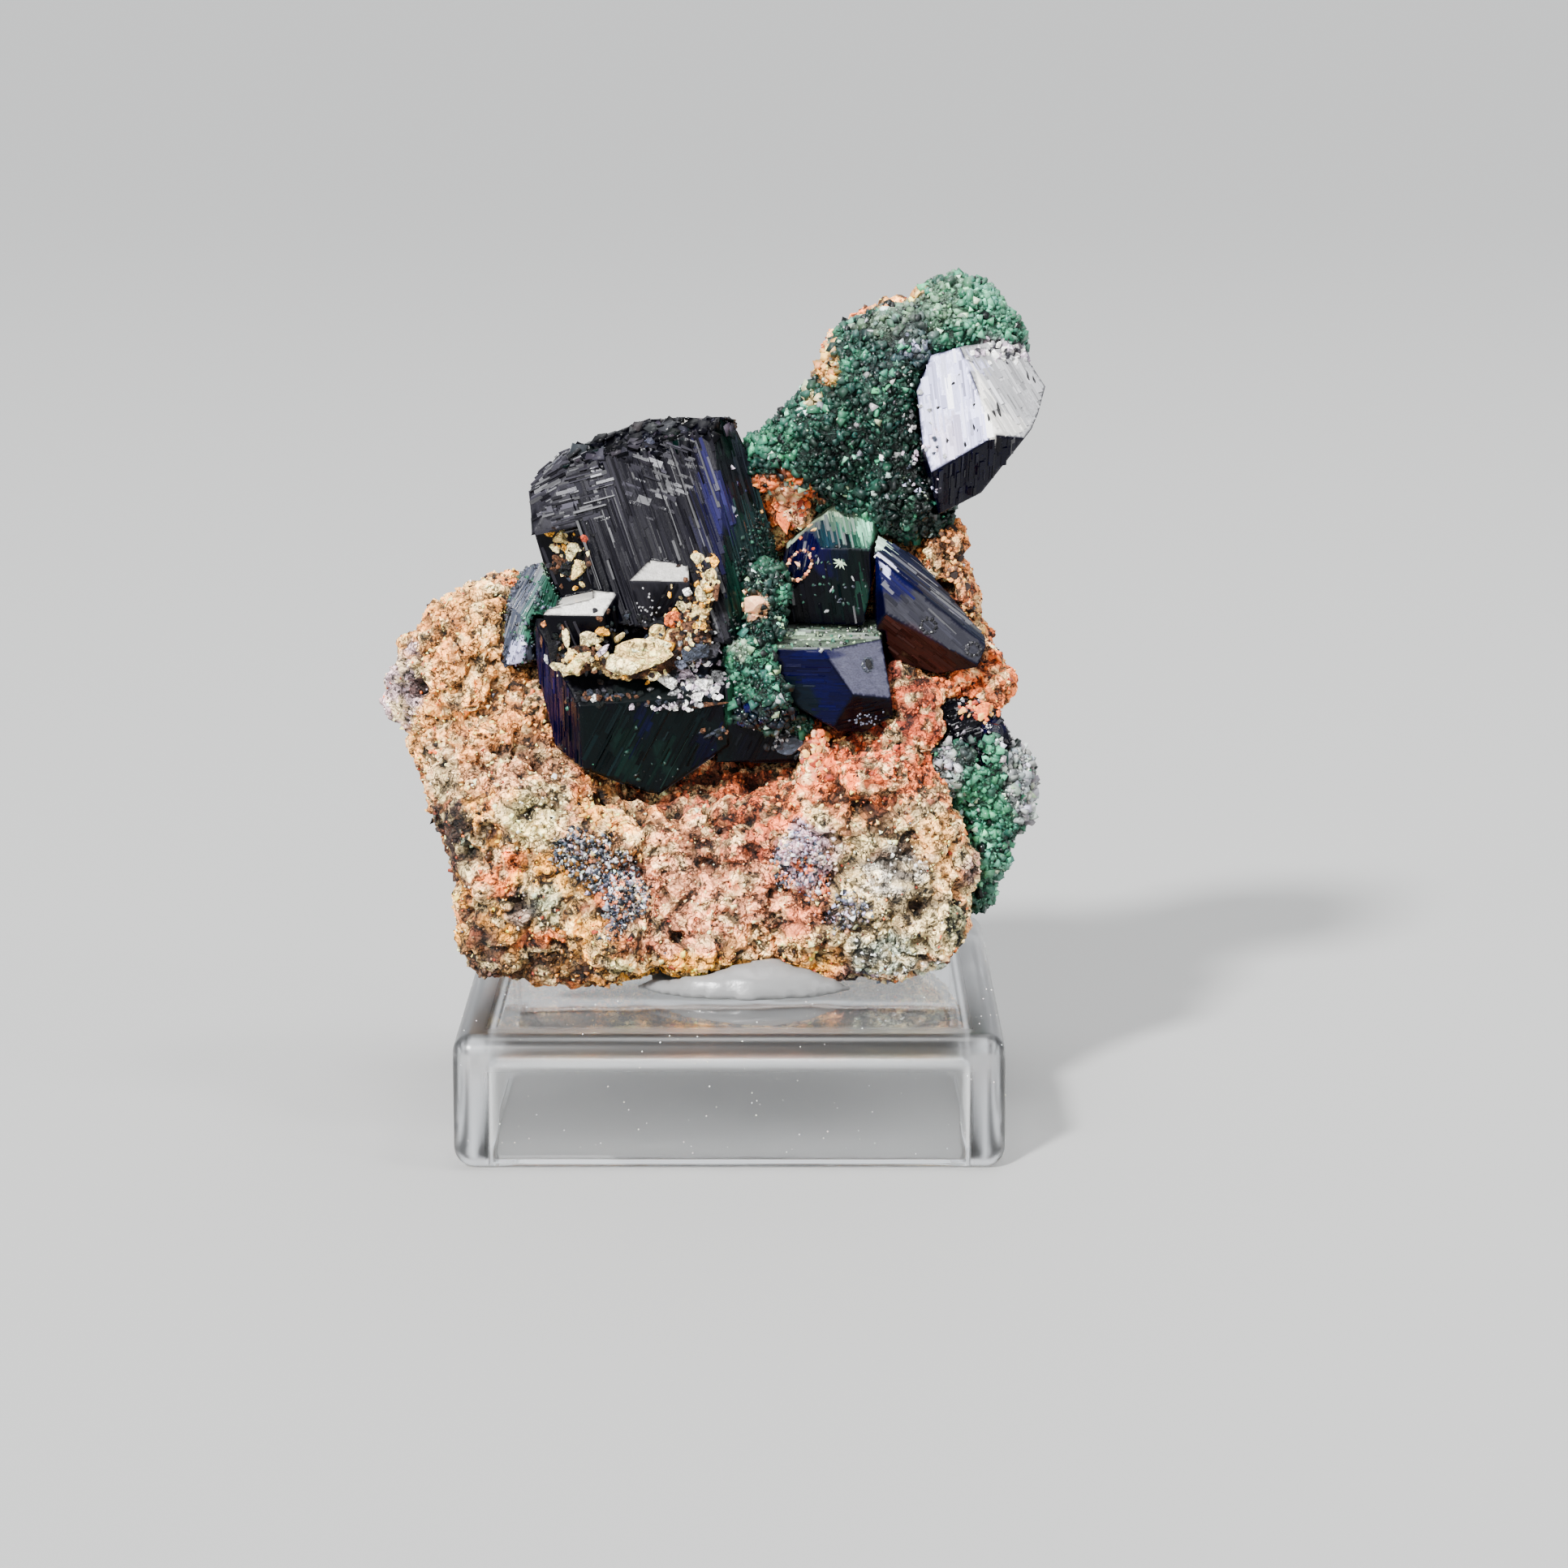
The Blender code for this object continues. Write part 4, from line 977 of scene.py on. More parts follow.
def dress_main():
    main = Surface(sharp_copy("azurite_main", "azurite_blocks", 7), "ink", 0.2)
    main.draw_out(ALONG)
    main.paint_faces(FACES["main"])
    main.paint_spots(MAIN_SPOTS, 100)
    main.store()
    keep(main.obj, azurite("blocks", ALONG), "azurite", "azurite_main")

    corner = main.spot(700, 600, 52, 54, ragged=0.2)
    front = main.facing(-8, 14, 8) * main.spot(815, 640, 125, 130, ragged=0.1)
    left = corner * main.facing(-8, 14, 60)
    broken = main.spot(812, 585, 46, 46, ragged=0.6) * front
    flank = main.facing(58, 12, 8)
    low = main.facing(7, -10, 8) + main.facing(-62, -8, 8)
    hidden = 1 - np.clip(front + left + flank + low + main.facing(-4, 50, 12), 0, 1)
    striae = Bits(110)
    for row in ((ALONG, front * (1 - corner), 520, (0.07, 0.32), (1.2, 8.0), (0.02, 0.10), None, 0.25, 0.06),
                (LEVEL, left, 260, (0.08, 0.30), (0.3, 2.2), (0.03, 0.16), "dark_grey", 0.5, 0.3),
                (ACROSS, broken, 90, (0.15, 0.5), (0.3, 1.2), (0.05, 0.14), "dark_grey", 0.4, 0.4),
                (ALONG, flank, 160, (0.1, 0.35), (0.8, 4.0), (0.02, 0.08), None, 0.3),
                (LOW, low, 200, (0.06, 0.3), (0.6, 4.0), (0.01, 0.05), None, 0.4, 0.0, DULL),
                (ALONG, hidden, 320, (0.1, 0.5), (0.8, 5.0), (0.02, 0.08), "dark_grey", 0.5)):
        laths(striae, "azurite_main", main, *row)
    striae.finish("azurite_striae", STRIAE, "azurite")

    rim = main.spot(790, 538, 130, 30, -12, ragged=0.2)
    scatter("azurite_ledges", "azurite", main, 760, (0.3, 1.1), 22, where=rim, kind="cube", material=STRIAE,
            stretch=(0.12, 0.25), tilt=0.12, own=0.0, vary=0.5, rough=(0.15, 0.45),
            mixture={"dark_grey": 6, "ink": 9, "black_green": 1})
    dust = main.spot(930, 700, 30, 80, 12, seed=141) + 0.02 * main.spot(790, 915, 90, 66, 0, seed=142)
    scatter("green_dust", "malachite", main, 1700, (0.10, 0.4), 21, where=dust, vary=0.45, own=0.2,
            tilt=1.0, mixture={"green": 1, "deep_green": 8, "black_green": 6})


# crystal: direction of its striations, colour
SINGLES = {
    "left": ((-0.35, 0, -0.93), "slate"),
    "coated": ((0.15, 0, -0.98), "navy"),
    "wedge": ((0.71, 0, -0.70), "navy"),
    "tabular": ((1.0, 0, 0.02), "navy"),
    "crest": ((0.22, 0, -0.97), "navy"),
    "side": ((0.7, 0, 0.3), "ink"),
}
# crystal: (u, v, half width, half height, turn, colour, strength, roughness), ...
SINGLE_SPOTS = {
    "left": (
        (672, 730, 16, 50, 20, "green", 0.7, 0.6),
        (680, 700, 14, 14, 0, "sage", 0.3, 0.6),
        (640, 745, 20, 50, 10, "blue_grey", 0.3, 0.3),
        (655, 770, 14, 20, 0, "bright_green", 0.4, 0.5),
        (636, 808, 16, 14, -30, "lavender", 0.8, 0.12),
    ),
    "coated": (
        (1040, 630, 44, 16, -10, "sage", 0.9, 0.7),
        (1050, 646, 40, 14, -10, "green", 0.8, 0.6),
        (1074, 640, 14, 34, 10, "mint", 0.8, 0.6),
        (1010, 675, 30, 36, 0, "indigo", 0.7, 0.2),
        (1000, 650, 20, 16, 0, "slate", 0.5, 0.5),
        (1040, 690, 22, 26, 0, "black_green", 0.7, 0.5),
        (1030, 740, 32, 20, 0, "black_green", 0.7, 0.5),
        (985, 740, 26, 24, 0, "ink", 0.8, 0.2),
        (1062, 736, 10, 24, 0, "green", 0.25, 0.5),
    ),
    "wedge": (
        (1086, 668, 14, 14, 0, "pale_mint", 0.8, 0.7),
        (1105, 705, 30, 34, 45, "royal", 0.8, 0.2),
        (1091, 695, 5, 18, -10, "lavender", 0.9, 0.2),
        (1130, 705, 40, 14, 45, "slate", 0.5, 0.4),
        (1165, 740, 50, 12, 38, "dark_grey", 0.7, 0.45),
        (1130, 800, 40, 20, 30, "red_brown", 0.03, 0.5),
    ),
    "tabular": (
        (990, 785, 96, 4, 2, "sage", 0.5, 0.7),
        (950, 780, 40, 4, 2, "pale_mint", 0.4, 0.7),
        (1010, 806, 30, 6, 0, "royal", 0.9, 0.2),
        (1000, 850, 30, 20, 30, "royal", 0.3, 0.2),
        (975, 862, 30, 24, 30, "black_green", 0.8, 0.5),
        (930, 830, 26, 30, 0, "deep_green", 0.5, 0.6),
    ),
    "crest": (
        (1175, 446, 36, 9, 10, "lavender", 0.6, 0.3),
        (1240, 432, 40, 12, 12, "grey", 0.7, 0.5),
        (1160, 540, 20, 30, 0, "lilac", 0.5, 0.3),
        # Painted highlight: these two white patches on the bright face stand for light that it mirrors.
        (1215, 500, 5, 50, -12, "white", 0.8, 0.15),
        (1235, 522, 30, 12, 0, "white", 0.5, 0.15),
    ),
    "side": (
        (1190, 885, 40, 26, 0, "ink", 0.7, 0.25),
        (1226, 897, 18, 10, 20, "indigo", 0.9, 0.12),
    ),
}
# crystal: azimuth, elevation and width in degrees of the grainy side, grains, colours
CRYSTAL_GRAINS = {
    "left": (20, 20, 80, 900, {"slate": 4, "blue_grey": 3, "ink": 4, "green": 3, "grey": 1}),
    "tabular": (2, 82, 20, 420, {"sage": 3, "green": 3, "white": 0.5, "grey": 2, "black_green": 5}),
    "side": (20, 20, 90, 700, {"ink": 6, "grey": 3, "lilac": 2, "dark_grey": 4, "navy": 3}),
}
# crystal: (azimuth, elevation of the face, strips, widths, lengths, proud, share of pale ones), ...
SINGLE_STRIAE = {
    "left": ((-18, 27, 50, (0.1, 0.3), (0.6, 2.5), (0.02, 0.08), 0.4),
             (-34, 4, 40, (0.1, 0.3), (0.6, 2.5), (0.02, 0.08), 0.4),
             (26, 6, 30, (0.1, 0.3), (0.6, 2.0), (0.02, 0.08), 0.1)),
    "coated": ((-6, 48, 90, (0.08, 0.25), (0.8, 2.6), (0.02, 0.09), 0.35),
               (-5, -4, 70, (0.08, 0.3), (0.6, 3.0), (0.01, 0.06), 0.1),
               (-46, 22, 40, (0.08, 0.3), (0.5, 2.0), (0.02, 0.08), 0.1)),
    "wedge": ((50, 46, 90, (0.08, 0.35), (0.8, 4.0), (0.02, 0.08), 0.25),
              (10, 18, 26, (0.1, 0.5), (0.6, 2.4), (0.01, 0.03), 0.1),
              (-21, -32, 30, (0.1, 0.4), (0.6, 2.4), (0.02, 0.06), 0.0)),
    "tabular": ((2, 82, 90, (0.1, 0.35), (0.8, 3.5), (0.02, 0.10), 0.3),
                (-8, -8, 40, (0.06, 0.25), (0.5, 2.5), (0.01, 0.04), 0.0),
                (24, -24, 24, (0.06, 0.25), (0.4, 1.2), (0.01, 0.04), 0.1)),
    "crest": ((-18, 22, 75, (0.08, 0.45), (0.8, 5.0), (0.01, 0.06), 0.3),
              (38, 35, 70, (0.08, 0.45), (0.8, 4.5), (0.01, 0.07), 0.4),
              (25, -40, 60, (0.08, 0.35), (0.6, 3.0), (0.01, 0.06), 0.05)),
    "side": ((4, 28, 40, (0.08, 0.3), (0.4, 1.6), (0.02, 0.10), 0.3),
             (48, 12, 30, (0.08, 0.3), (0.4, 1.6), (0.01, 0.06), 0.1)),
}
# Dark slots in the crest crystal's bright face: u, v, width, height
CREST_SLOTS = (
    (1201, 530, 4, 18), (1206, 534, 3, 12), (1174, 473, 5, 5), (1157, 502, 6, 4), (1201, 499, 4, 5),
    (1183, 462, 3, 8), (1226, 515, 3, 34), (1219, 520, 2, 24), (1232, 512, 2, 36), (1268, 470, 2, 30),
    (1275, 474, 2, 24), (1168, 545, 3, 12), (1190, 548, 3, 10),
)


def dress_singles():
    striae = Bits(210)
    for i, (name, (along, colour)) in enumerate(SINGLES.items()):
        node = "azurite_" + name
        one = Surface(sharp_copy(node, node + "_crystal", 6), colour, 0.2)
        one.draw_out(along)
        one.paint_faces(FACES[name])
        one.paint_spots(SINGLE_SPOTS[name], 230 + 7 * i)
        one.store()
        keep(one.obj, azurite(name, along), "azurite", node)
        if name in CRYSTAL_GRAINS:
            azimuth, elevation, within, count, mixture = CRYSTAL_GRAINS[name]
            scatter(node + "_grains", "azurite", one, count, (0.1, 0.38), 260 + i,
                    where=one.facing(azimuth, elevation, within), own=0.35, mixture=mixture, vary=0.4,
                    rough=(0.2, 0.6))
        for azimuth, elevation, count, widths, lengths, proud, pale in SINGLE_STRIAE[name]:
            laths(striae, node, one, along, one.facing(azimuth, elevation, 8), count, widths, lengths, proud,
                  vary=0.3, pale=pale)
    striae.finish("azurite_single_striae", STRIAE, "azurite")


# Crumbs on the crystals: u, v, half width, half height, how many, colours, sizes
CRYSTAL_CRUMBS = (
    (1066, 886, 20, 12, 26, ("blue_grey",), (2, 4)),
    (795, 752, 16, 16, 26, ("grey",), (2, 4)),
    (1124, 495, 18, 32, 50, ("white", "lilac", "grey"), (3, 9)),
    (1130, 555, 28, 22, 46, ("lilac", "grey", "slate"), (3, 8)),
    (1132, 602, 28, 12, 30, ("lavender", "lilac"), (2, 6)),
    (1130, 426, 14, 16, 26, ("lavender", "blue_grey"), (4, 10)),
    (1234, 434, 38, 12, 90, ("lilac", "grey", "white", "dark_grey"), (4, 12)),
    (872, 842, 34, 18, 60, ("white", "lilac", "grey", "slate"), (4, 10)),
)


def dress_marks():
    marks = Bits(211)
    for u, v, wide, high in CREST_SLOTS:
        marks.chunk(u, v, wide + 1.5, high, -12, "ink", rough=0.3, deep=0.3, sink=0.3, crags=0.05, detail=2)
    for u, v, wide, high, colour in ((902, 576, 9, 8, "lilac"), (903, 628, 10, 9, "blue_grey"),
                                     (908, 597, 8, 8, "royal"), (917, 604, 7, 6, "royal"),
                                     (907, 636, 6, 5, "lilac")):
        marks.chunk(u, v, wide, high, 20, colour, rough=0.4, sink=0.4)
    for u, v, radius in ((1144, 771, 9), (1199, 800, 8)):
        marks.ring(u, v, radius, radius, 0, ("dark_grey", "ink"), 5, rough=0.3)
    marks.chunk(1069, 819, 11, 14, 0, "ink", deep=0.25)
    marks.ring(1069, 819, 6, 8, 0, ("slate",), 4, rough=0.3)
    marks.ring(985, 697, 13, 20, 30, ("pink", "salmon", "brown"), 5.5, around=26)
    marks.chunk(985, 697, 16, 6, 30, "pink", deep=0.8)
    for k in range(5):
        marks.chunk(1036, 693, 3.5, 20, 36 * k + 10, "sage", rough=0.4, detail=2)
    for u, v, wide, high, turn in ((1025, 725, 3, 12, 30), (1018, 753, 8, 4, -20), (967, 751, 8, 4, -50),
                                   (1008, 690, 3, 12, 10), (962, 735, 3, 9, 20), (1050, 712, 3, 10, -30)):
        marks.chunk(u, v, wide, high, turn, "grey", rough=0.3, deep=0.7, detail=1)
    marks.crumbs(1010, 720, 60, 50, 60, ("deep_green", "green", "slate", "ink"), (2, 6))
    for u, v, size, colour in ((922, 872, 18, "royal"), (936, 886, 14, "indigo"), (914, 890, 12, "royal"),
                               (950, 878, 12, "navy"), (930, 866, 8, "blue_grey"), (905, 880, 9, "indigo")):
        marks.chunk(u, v, size, size * 0.9, 20, colour, rough=0.15, deep=0.9, vary=0.5)
    marks.chunk(969, 920, 44, 22, -10, "slate", rough=0.35, deep=0.3, vary=0.4, crags=0.4, sink=0.45)
    marks.crumbs(969, 918, 30, 16, 40, ("slate", "ink", "grey", "dark_grey"), (4, 10))
    marks.ring(969, 916, 14, 10, 0, ("grey", "slate"), 5)
    marks.chunk(1225, 897, 40, 18, 20, "navy", rough=0.12, vary=0.3)
    marks.chunk(1243, 905, 6, 22, -30, "blue_grey", rough=0.2, deep=0.6)
    for row in CRYSTAL_CRUMBS:
        marks.crumbs(*row, rough=0.25, deep=0.9, vary=0.35)
    marks.finish("azurite_marks", GRAINS, "azurite")


# ---------------------------------------------------------------- malachite
# node: number of coarse and of fine grains
CRUST_GRAINS = {
    "malachite_crest": (5000, 3000),
    "malachite_cushion": (1500, 1500),
    "malachite_side": (2200, 2000),
}
# node: (u, v, half width, half height, turn, colour, strength), ...
CRUST_SPOTS = {
    "malachite_crest": (
        (1205, 395, 56, 60, 30, "bright_green", 0.5),
        (1215, 380, 30, 44, 30, "mint", 0.22),
        (1235, 410, 16, 20, 0, "mint", 0.2),
        (1140, 380, 60, 34, -20, "sage", 0.22),
        (1100, 420, 50, 40, -20, "slate", 0.3),
        (962, 548, 32, 24, 0, "bright_green", 0.4),
        (1140, 610, 60, 50, 0, "black_green", 0.8),
        (1130, 560, 24, 50, 0, "black_green", 0.6),
        (1125, 425, 24, 24, 0, "slate", 0.6),
        (972, 602, 36, 22, 15, "orange", 0.95),
        (966, 606, 20, 12, 15, "pink", 0.7),
        (1012, 435, 16, 40, -20, "peach", 0.9),
        (1002, 495, 9, 14, 0, "cream", 0.8),
        (1100, 370, 34, 10, -20, "peach", 0.9),
        (1235, 430, 36, 14, 14, "lilac", 0.8),
    ),
    "malachite_cushion": (
        (930, 745, 16, 16, 0, "pink", 0.95),
        (915, 800, 16, 12, 0, "sage", 0.6),
        (900, 850, 10, 40, 0, "bright_green", 0.6),
        (935, 880, 40, 14, 0, "navy", 0.8),
    ),
    "malachite_side": (
        (1200, 980, 60, 80, 0, "bright_green", 0.8),
        (1255, 940, 20, 70, -10, "grey", 0.9),
        (1175, 910, 40, 34, 0, "dark_grey", 0.9),
        (1168, 950, 14, 30, 0, "grey", 0.7),
        (1210, 1070, 30, 40, 0, "mint", 0.3),
    ),
}


def dress_crusts():
    for i, (node, (coarse, fine)) in enumerate(CRUST_GRAINS.items()):
        crust = Surface(fine_copy(node, node + "_crust", 0.24, 6), "deep_green", 0.5)
        p = crust.rest
        near, second, number = cells(warped(p, 0.4, 1.2, 300 + i), 1.1, 301 + 9 * i)
        small, _, mix = cells(p, 0.5, 303 + 9 * i)
        knobs = 0.4 * (0.6 - near) + 0.16 * (0.6 - small)
        gaps = ramp(0.12 - (second - near), 0, 0.12)
        crust.lift(0.05 + knobs + 0.25 * fractal(p, 2.0, 3, 306 + i) - 0.15 * gaps)
        crust.scramble(0.08, 310 + i)
        crust.paint(0.6 * ramp(number, 0.4, 0.9), "green")
        crust.mottle("bright_green", 0.5, 1.5, 3, 320 + i, 0.25, 0.5)
        crust.mottle("black_green", 0.6, 2.5, 3, 324 + i, 0.0, 0.4)
        crust.paint_spots(CRUST_SPOTS[node], 330 + 20 * i)
        crust.zone = crust.colour.copy()
        # Mint flecks on random cells: partly the crust's paler grains, partly painted glints.
        crust.paint(0.5 * ramp(mix, 0.85, 0.95), "mint")
        # Painted shade: the gaps between the scales are painted ink, partly the crust's own dark and partly
        # the shade in them.
        crust.paint(0.7 * gaps, "ink")
        # Painted shade and light: the colour is darkened to half in the hollows between the knobs and
        # lightened a little on their tops.
        crust.shade(0.5 + 0.6 * ramp(knobs, -0.15, 0.25))
        crust.store_faces(0.35, 328 + i)
        keep(crust.obj, MALACHITE, "malachite", node)
        sparkle = {"pale_mint": 1, "mint": 1, "bright_green": 3, "black_green": 6, "sage": 2, "grey": 1}
        scatter(node + "_grains", "malachite", crust, coarse, (0.26, 0.78), 340 + i, gain=1.1, own=0.85,
                mixture=sparkle, vary=0.4, rough=(0.12, 0.6))
        scatter(node + "_dust", "malachite", crust, fine, (0.12, 0.28), 350 + i, gain=1.25, own=0.8,
                sink=0.35, tilt=1.5, mixture=sparkle, vary=0.5, rough=(0.1, 0.5))
    knob = Bits(360)
    knob.chunk(928, 749, 32, 30, 0, "pink", deep=0.9, cuts=14)
    knob.ring(926, 747, 11, 10, 0, ("cream", "pink", "brown"), 8)
    knob.finish("pink_knob", GRAINS, "gossan")


# ---------------------------------------------------------------- clay
# u, v, width, height, turn, colour, depth
CLAY_CRUMBS = (
    (783, 812, 94, 50, -6, "clay", 0.5),
    (765, 822, 50, 34, 10, "cream", 0.6),
    (805, 800, 46, 34, -20, "cream", 0.5),
    (728, 789, 34, 28, -35, "cream", 0.6),
    (708, 820, 52, 22, -38, "clay", 0.7),
    (697, 828, 26, 18, -30, "cream", 0.7),
    (738, 806, 34, 10, -50, "lilac", 0.6),
    (732, 861, 14, 18, 0, "white", 0.4),
    (812, 780, 30, 24, -30, "clay", 0.7),
    (828, 765, 30, 26, 10, "orange", 0.6),
    (842, 748, 28, 22, 30, "cream", 0.7),
    (824, 794, 22, 18, 0, "ochre", 0.7),
    (850, 772, 18, 22, 0, "brown", 0.6),
    (856, 757, 16, 20, 0, "clay", 0.7),
    (866, 735, 20, 28, 0, "cream", 0.7),
    (872, 712, 22, 28, 10, "clay", 0.7),
    (858, 690, 20, 18, 0, "cream", 0.7),
    (880, 692, 14, 22, 0, "ochre", 0.7),
    (882, 730, 12, 22, 0, "brown", 0.6),
    (846, 728, 14, 14, 0, "white", 0.7),
    (693, 662, 26, 20, -20, "clay", 0.6),
    (706, 680, 20, 24, 10, "cream", 0.6),
    (712, 702, 24, 26, 0, "clay", 0.6),
    (690, 690, 20, 16, 0, "brown", 0.5),
    (678, 656, 16, 12, 0, "ochre", 0.6),
    (720, 664, 10, 16, 0, "red_brown", 0.5),
    (684, 676, 14, 16, 30, "cream", 0.6),
    (724, 690, 10, 20, 0, "dark_brown", 0.5),
    (744, 776, 22, 16, 0, "ochre", 0.6),
    (760, 788, 24, 14, -20, "clay", 0.6),
    (820, 838, 30, 24, 0, "white", 0.6),
    (845, 834, 28, 22, 20, "lilac", 0.6),
    (868, 846, 26, 24, -20, "white", 0.6),
    (884, 836, 16, 26, 0, "grey", 0.6),
    (834, 853, 26, 14, 0, "grey", 0.6),
    (858, 858, 26, 12, 0, "white", 0.6),
    (806, 834, 18, 14, 0, "cream", 0.6),
    (872, 868, 56, 9, -4, "brown", 0.7),
    (858, 806, 36, 26, -10, "slate", 0.5),
    (842, 818, 22, 16, 20, "blue_grey", 0.5),
    (876, 800, 20, 24, 0, "dark_grey", 0.5),
    (884, 900, 40, 5, -28, "slate", 0.6),
)
# The hollow ring at the left: u, v, width, height, turn, colour
CLAY_HOOK = (
    (697, 784, 11, 34, -14, "cream"), (702, 806, 12, 22, 14, "clay"), (690, 822, 26, 12, 14, "cream"),
    (672, 768, 16, 8, -30, "tan"), (667, 788, 5, 22, 4, "brown"), (674, 812, 8, 14, -30, "grey"),
)
CRUMB_COLOURS = {
    "clay": ("clay", "cream", "ochre", "brown", "clay", "dark_brown", "dark_brown", "ink"),
    "crust": ("white", "lilac", "grey", "dark_grey", "slate", "ink"),
    # The dark crumbs lie in crevices and under the clay's lumps: partly dark mineral and partly painted
    # shade.
    "dark": ("dark_grey", "ink", "slate", "black_green", "brown"),
}
# u, v, half width, half height, crumbs, colours
CRUMB_PATCHES = (
    (700, 682, 24, 30, 90, "clay"),
    (700, 700, 26, 14, 40, "dark"),
    (852, 760, 24, 40, 140, "clay"),
    (868, 712, 14, 34, 70, "clay"),
    (715, 815, 34, 20, 50, "clay"),
    (784, 815, 46, 24, 50, "clay"),
    (780, 770, 40, 20, 40, "dark"),
    (848, 842, 34, 15, 120, "crust"),
    (866, 810, 24, 24, 70, "crust"),
    (690, 795, 14, 22, 24, "dark"),
    (740, 858, 50, 9, 60, "dark"),
    (840, 868, 50, 7, 50, "crust"),
    (885, 903, 18, 7, 14, "dark"),
)


def dress_clay():
    crumbs = Bits(400)
    for u, v, wide, high, turn, colour, deep in CLAY_CRUMBS:
        crumbs.chunk(u, v, wide, high, turn, colour, deep=deep, sink=0.35, crags=0.1, vary=0.22, cuts=14)
    # The ink chunk fills the hollow of the ring at the left: partly dark mineral and partly painted shade.
    crumbs.chunk(682, 793, 20, 46, 6, "ink", deep=0.2, sink=0.3)
    for row in CLAY_HOOK:
        crumbs.chunk(*row, deep=0.8, crags=0.2, vary=0.2)
    for u, v, wide, high, count, kind in CRUMB_PATCHES:
        crumbs.crumbs(u, v, wide, high, count, CRUMB_COLOURS[kind], (3, 10))
    crumbs.finish("clay_crumbs", CLAY, "clay")

    clay = Surface(fine_copy("clay_patch", "clay_lumps", 0.16, 3), "brown", 0.85)
    clay.lift(-0.35 + 0.3 * fractal(clay.rest, 1.2, 4, 405))
    clay.scramble(0.05, 406)
    clay.mottle("clay", 0.9, 1.0, 3, 411, 0.0, 0.3)
    clay.mottle("dark_brown", 0.9, 0.7, 3, 412, 0.0, 0.3)
    clay.store_faces(0.2, 413)
    keep(clay.obj, CLAY, "clay", "clay_patch")


# ---------------------------------------------------------------- base and putty
BASE_SIDE, BASE_HEIGHT, BASE_WALL, BASE_LID, BASE_ROUND, CAVITY_ROUND = 32.0, 8.0, 2.0, 1.6, 1.2, 0.7
DUSTY_SIDES = (14.6, 15.2)  # distances from the base's middle between which the dust gets thick
CLEAN_FOOT = (0.9, 1.1)  # heights under which there is none


def rounded_box(size, low_z, radius, segments):
    bm = bmesh.new()
    bmesh.ops.create_cube(bm, size=1.0)
    bmesh.ops.scale(bm, vec=Vector(size) * MM, verts=bm.verts)
    middle = Vector((BASE_MIDDLE.x, BASE_MIDDLE.y, low_z + size[2] / 2)) * MM
    bmesh.ops.translate(bm, vec=middle, verts=bm.verts)
    bmesh.ops.bevel(bm, geom=bm.edges[:], offset=radius * MM, segments=segments, profile=0.5,
                    affect="EDGES")
    mesh = bpy.data.meshes.new("box")
    bm.to_mesh(mesh)
    bm.free()
    return link(bpy.data.objects.new("box", mesh))


def dress_base():
    base = rounded_box((BASE_SIDE, BASE_SIDE, BASE_HEIGHT), 0, BASE_ROUND, 8)
    base.name = "display_base_clear"
    inner = BASE_SIDE - 2 * BASE_WALL
    below = 4.0
    cavity = rounded_box((inner, inner, BASE_HEIGHT - BASE_LID + below), -below, CAVITY_ROUND, 6)
    cut = base.modifiers.new("cavity", "BOOLEAN")
    cut.operation = "DIFFERENCE"
    cut.object = cavity
    modified(base)
    bpy.data.objects.remove(cavity)
    base.data.shade_smooth()
    base.data.set_sharp_from_angle(angle=math.radians(40))
    keep(base, clear_plastic(), "clear_plastic", "display_base")
    walls = Surface(base, "white", 0.5)
    outer = ramp(np.abs(walls.points[:, :2] - np.array(BASE_MIDDLE)[:2]).max(axis=1), *DUSTY_SIDES)
    above = ramp(walls.points[:, 2], *CLEAN_FOOT)
    scatter("dust_specks", "clear_plastic", walls, 420, (0.035, 0.10), 501, where=(outer + 0.2) * above,
            kind="lump", tilt=4.0, vary=0.1, rough=(0.6, 0.9))


def dress_putty():
    putty = Surface(fine_copy("mounting_putty", "putty_pad", 0.3, 4), "white", 0.35)
    putty.lift(0.12 + 0.15 * fractal(putty.points, 3.0, 3, 521))
    keep(putty.obj, putty_material(), "putty", "mounting_putty")


# ---------------------------------------------------------------- stage
LIT_PLACE = (1.0, 0.0, 27.0)  # what the lights aim at
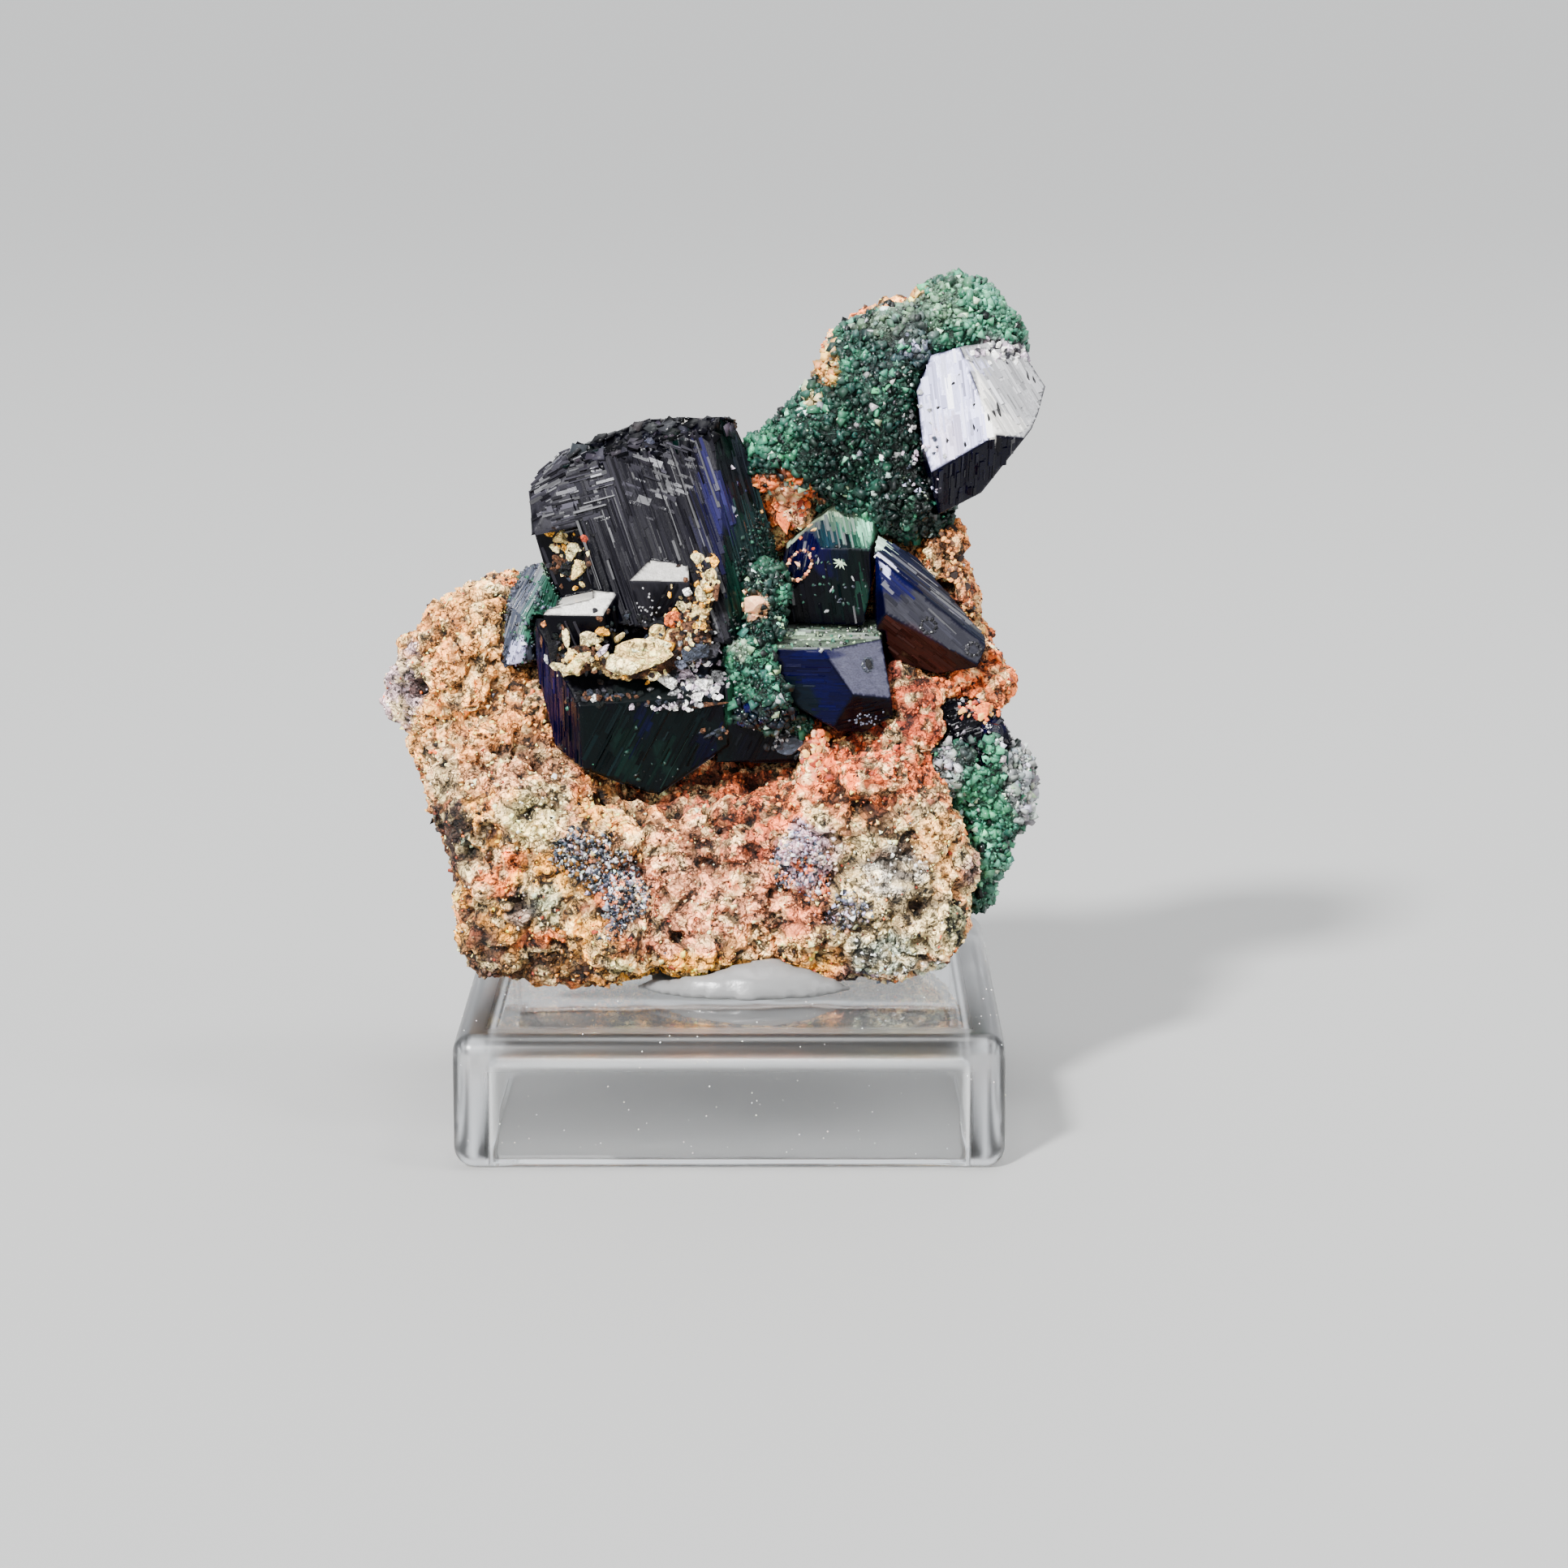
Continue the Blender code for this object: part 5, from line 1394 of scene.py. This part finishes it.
# Square soft lights: name, azimuth, elevation, distance, side, radiance
SOFT_LIGHTS = (
    ("top", 0, 88, 420, 150, 18.0),
    ("left_glint", -36, 33, 480, 70, 20.0),
    ("crest_glint", 76, 58, 480, 110, 22.0),
    ("tablet_glint", 64, 25, 480, 80, 24.0),
    ("front_sheen", -16, 17, 600, 190, 6.0),
    ("wedge_sheen", 20, 25, 600, 120, 6.0),
    ("back", 170, 50, 600, 400, 2.0),
)


def light(name, kind, azimuth, elevation, distance, energy):
    data = bpy.data.lights.new(name, kind)
    data.energy = energy
    lamp = link(bpy.data.objects.new(name, data))
    out = Vector(direction(azimuth, elevation))
    lamp.location = (Vector(LIT_PLACE) + out * distance) * MM
    lamp.rotation_euler = out.to_track_quat("Z", "Y").to_euler()
    return data


def lights():
    """A sun as the key light, so that the floor is evenly lit, and soft lights that the facets mirror."""
    light("key", "SUN", -30, 38, 0, 9.5).angle = math.radians(7)
    for name, azimuth, elevation, distance, side, radiance in SOFT_LIGHTS:
        energy = radiance * math.pi * (side * MM) ** 2
        light(name, "AREA", azimuth, elevation, distance, energy).size = side * MM


def floor_and_sky():
    mesh = bpy.data.meshes.new("floor")
    bm = bmesh.new()
    bmesh.ops.create_grid(bm, x_segments=1, y_segments=1, size=6.0)
    bm.to_mesh(mesh)
    bm.free()
    floor = link(bpy.data.objects.new("floor", mesh))
    pale = Nodes(bpy.data.materials.new("floor"))
    floor.data.materials.append(pale.finish({"Base Color": (0.32, 0.32, 0.315, 1), "Roughness": 0.75}))

    sky = Nodes(bpy.data.worlds.new("studio"))
    away = sky.add("SeparateXYZ", {0: sky.add("TexCoord", {}, "Generated")}, "Y")
    strength = sky.span(away, -0.6, 0.8, 0.6, 1.4)
    bpy.context.scene.world = sky.finish({"Color": (0.93, 0.96, 1.0, 1), "Strength": strength}, "Background")


def camera():
    data = bpy.data.cameras.new("camera")
    data.sensor_width = SENSOR_MM
    data.lens = SENSOR_MM * FOCAL_PX / FRAME_PX
    data.clip_start = 0.01
    eye = link(bpy.data.objects.new("camera", data))
    eye.location = CAMERA * MM
    eye.rotation_euler = (math.radians(90) - PITCH, 0, 0)
    bpy.context.scene.camera = eye


floor_and_sky()
lights()
camera()
dress_base()
dress_putty()
dress_stone()
dress_main()
dress_singles()
dress_marks()
dress_crusts()
dress_clay()
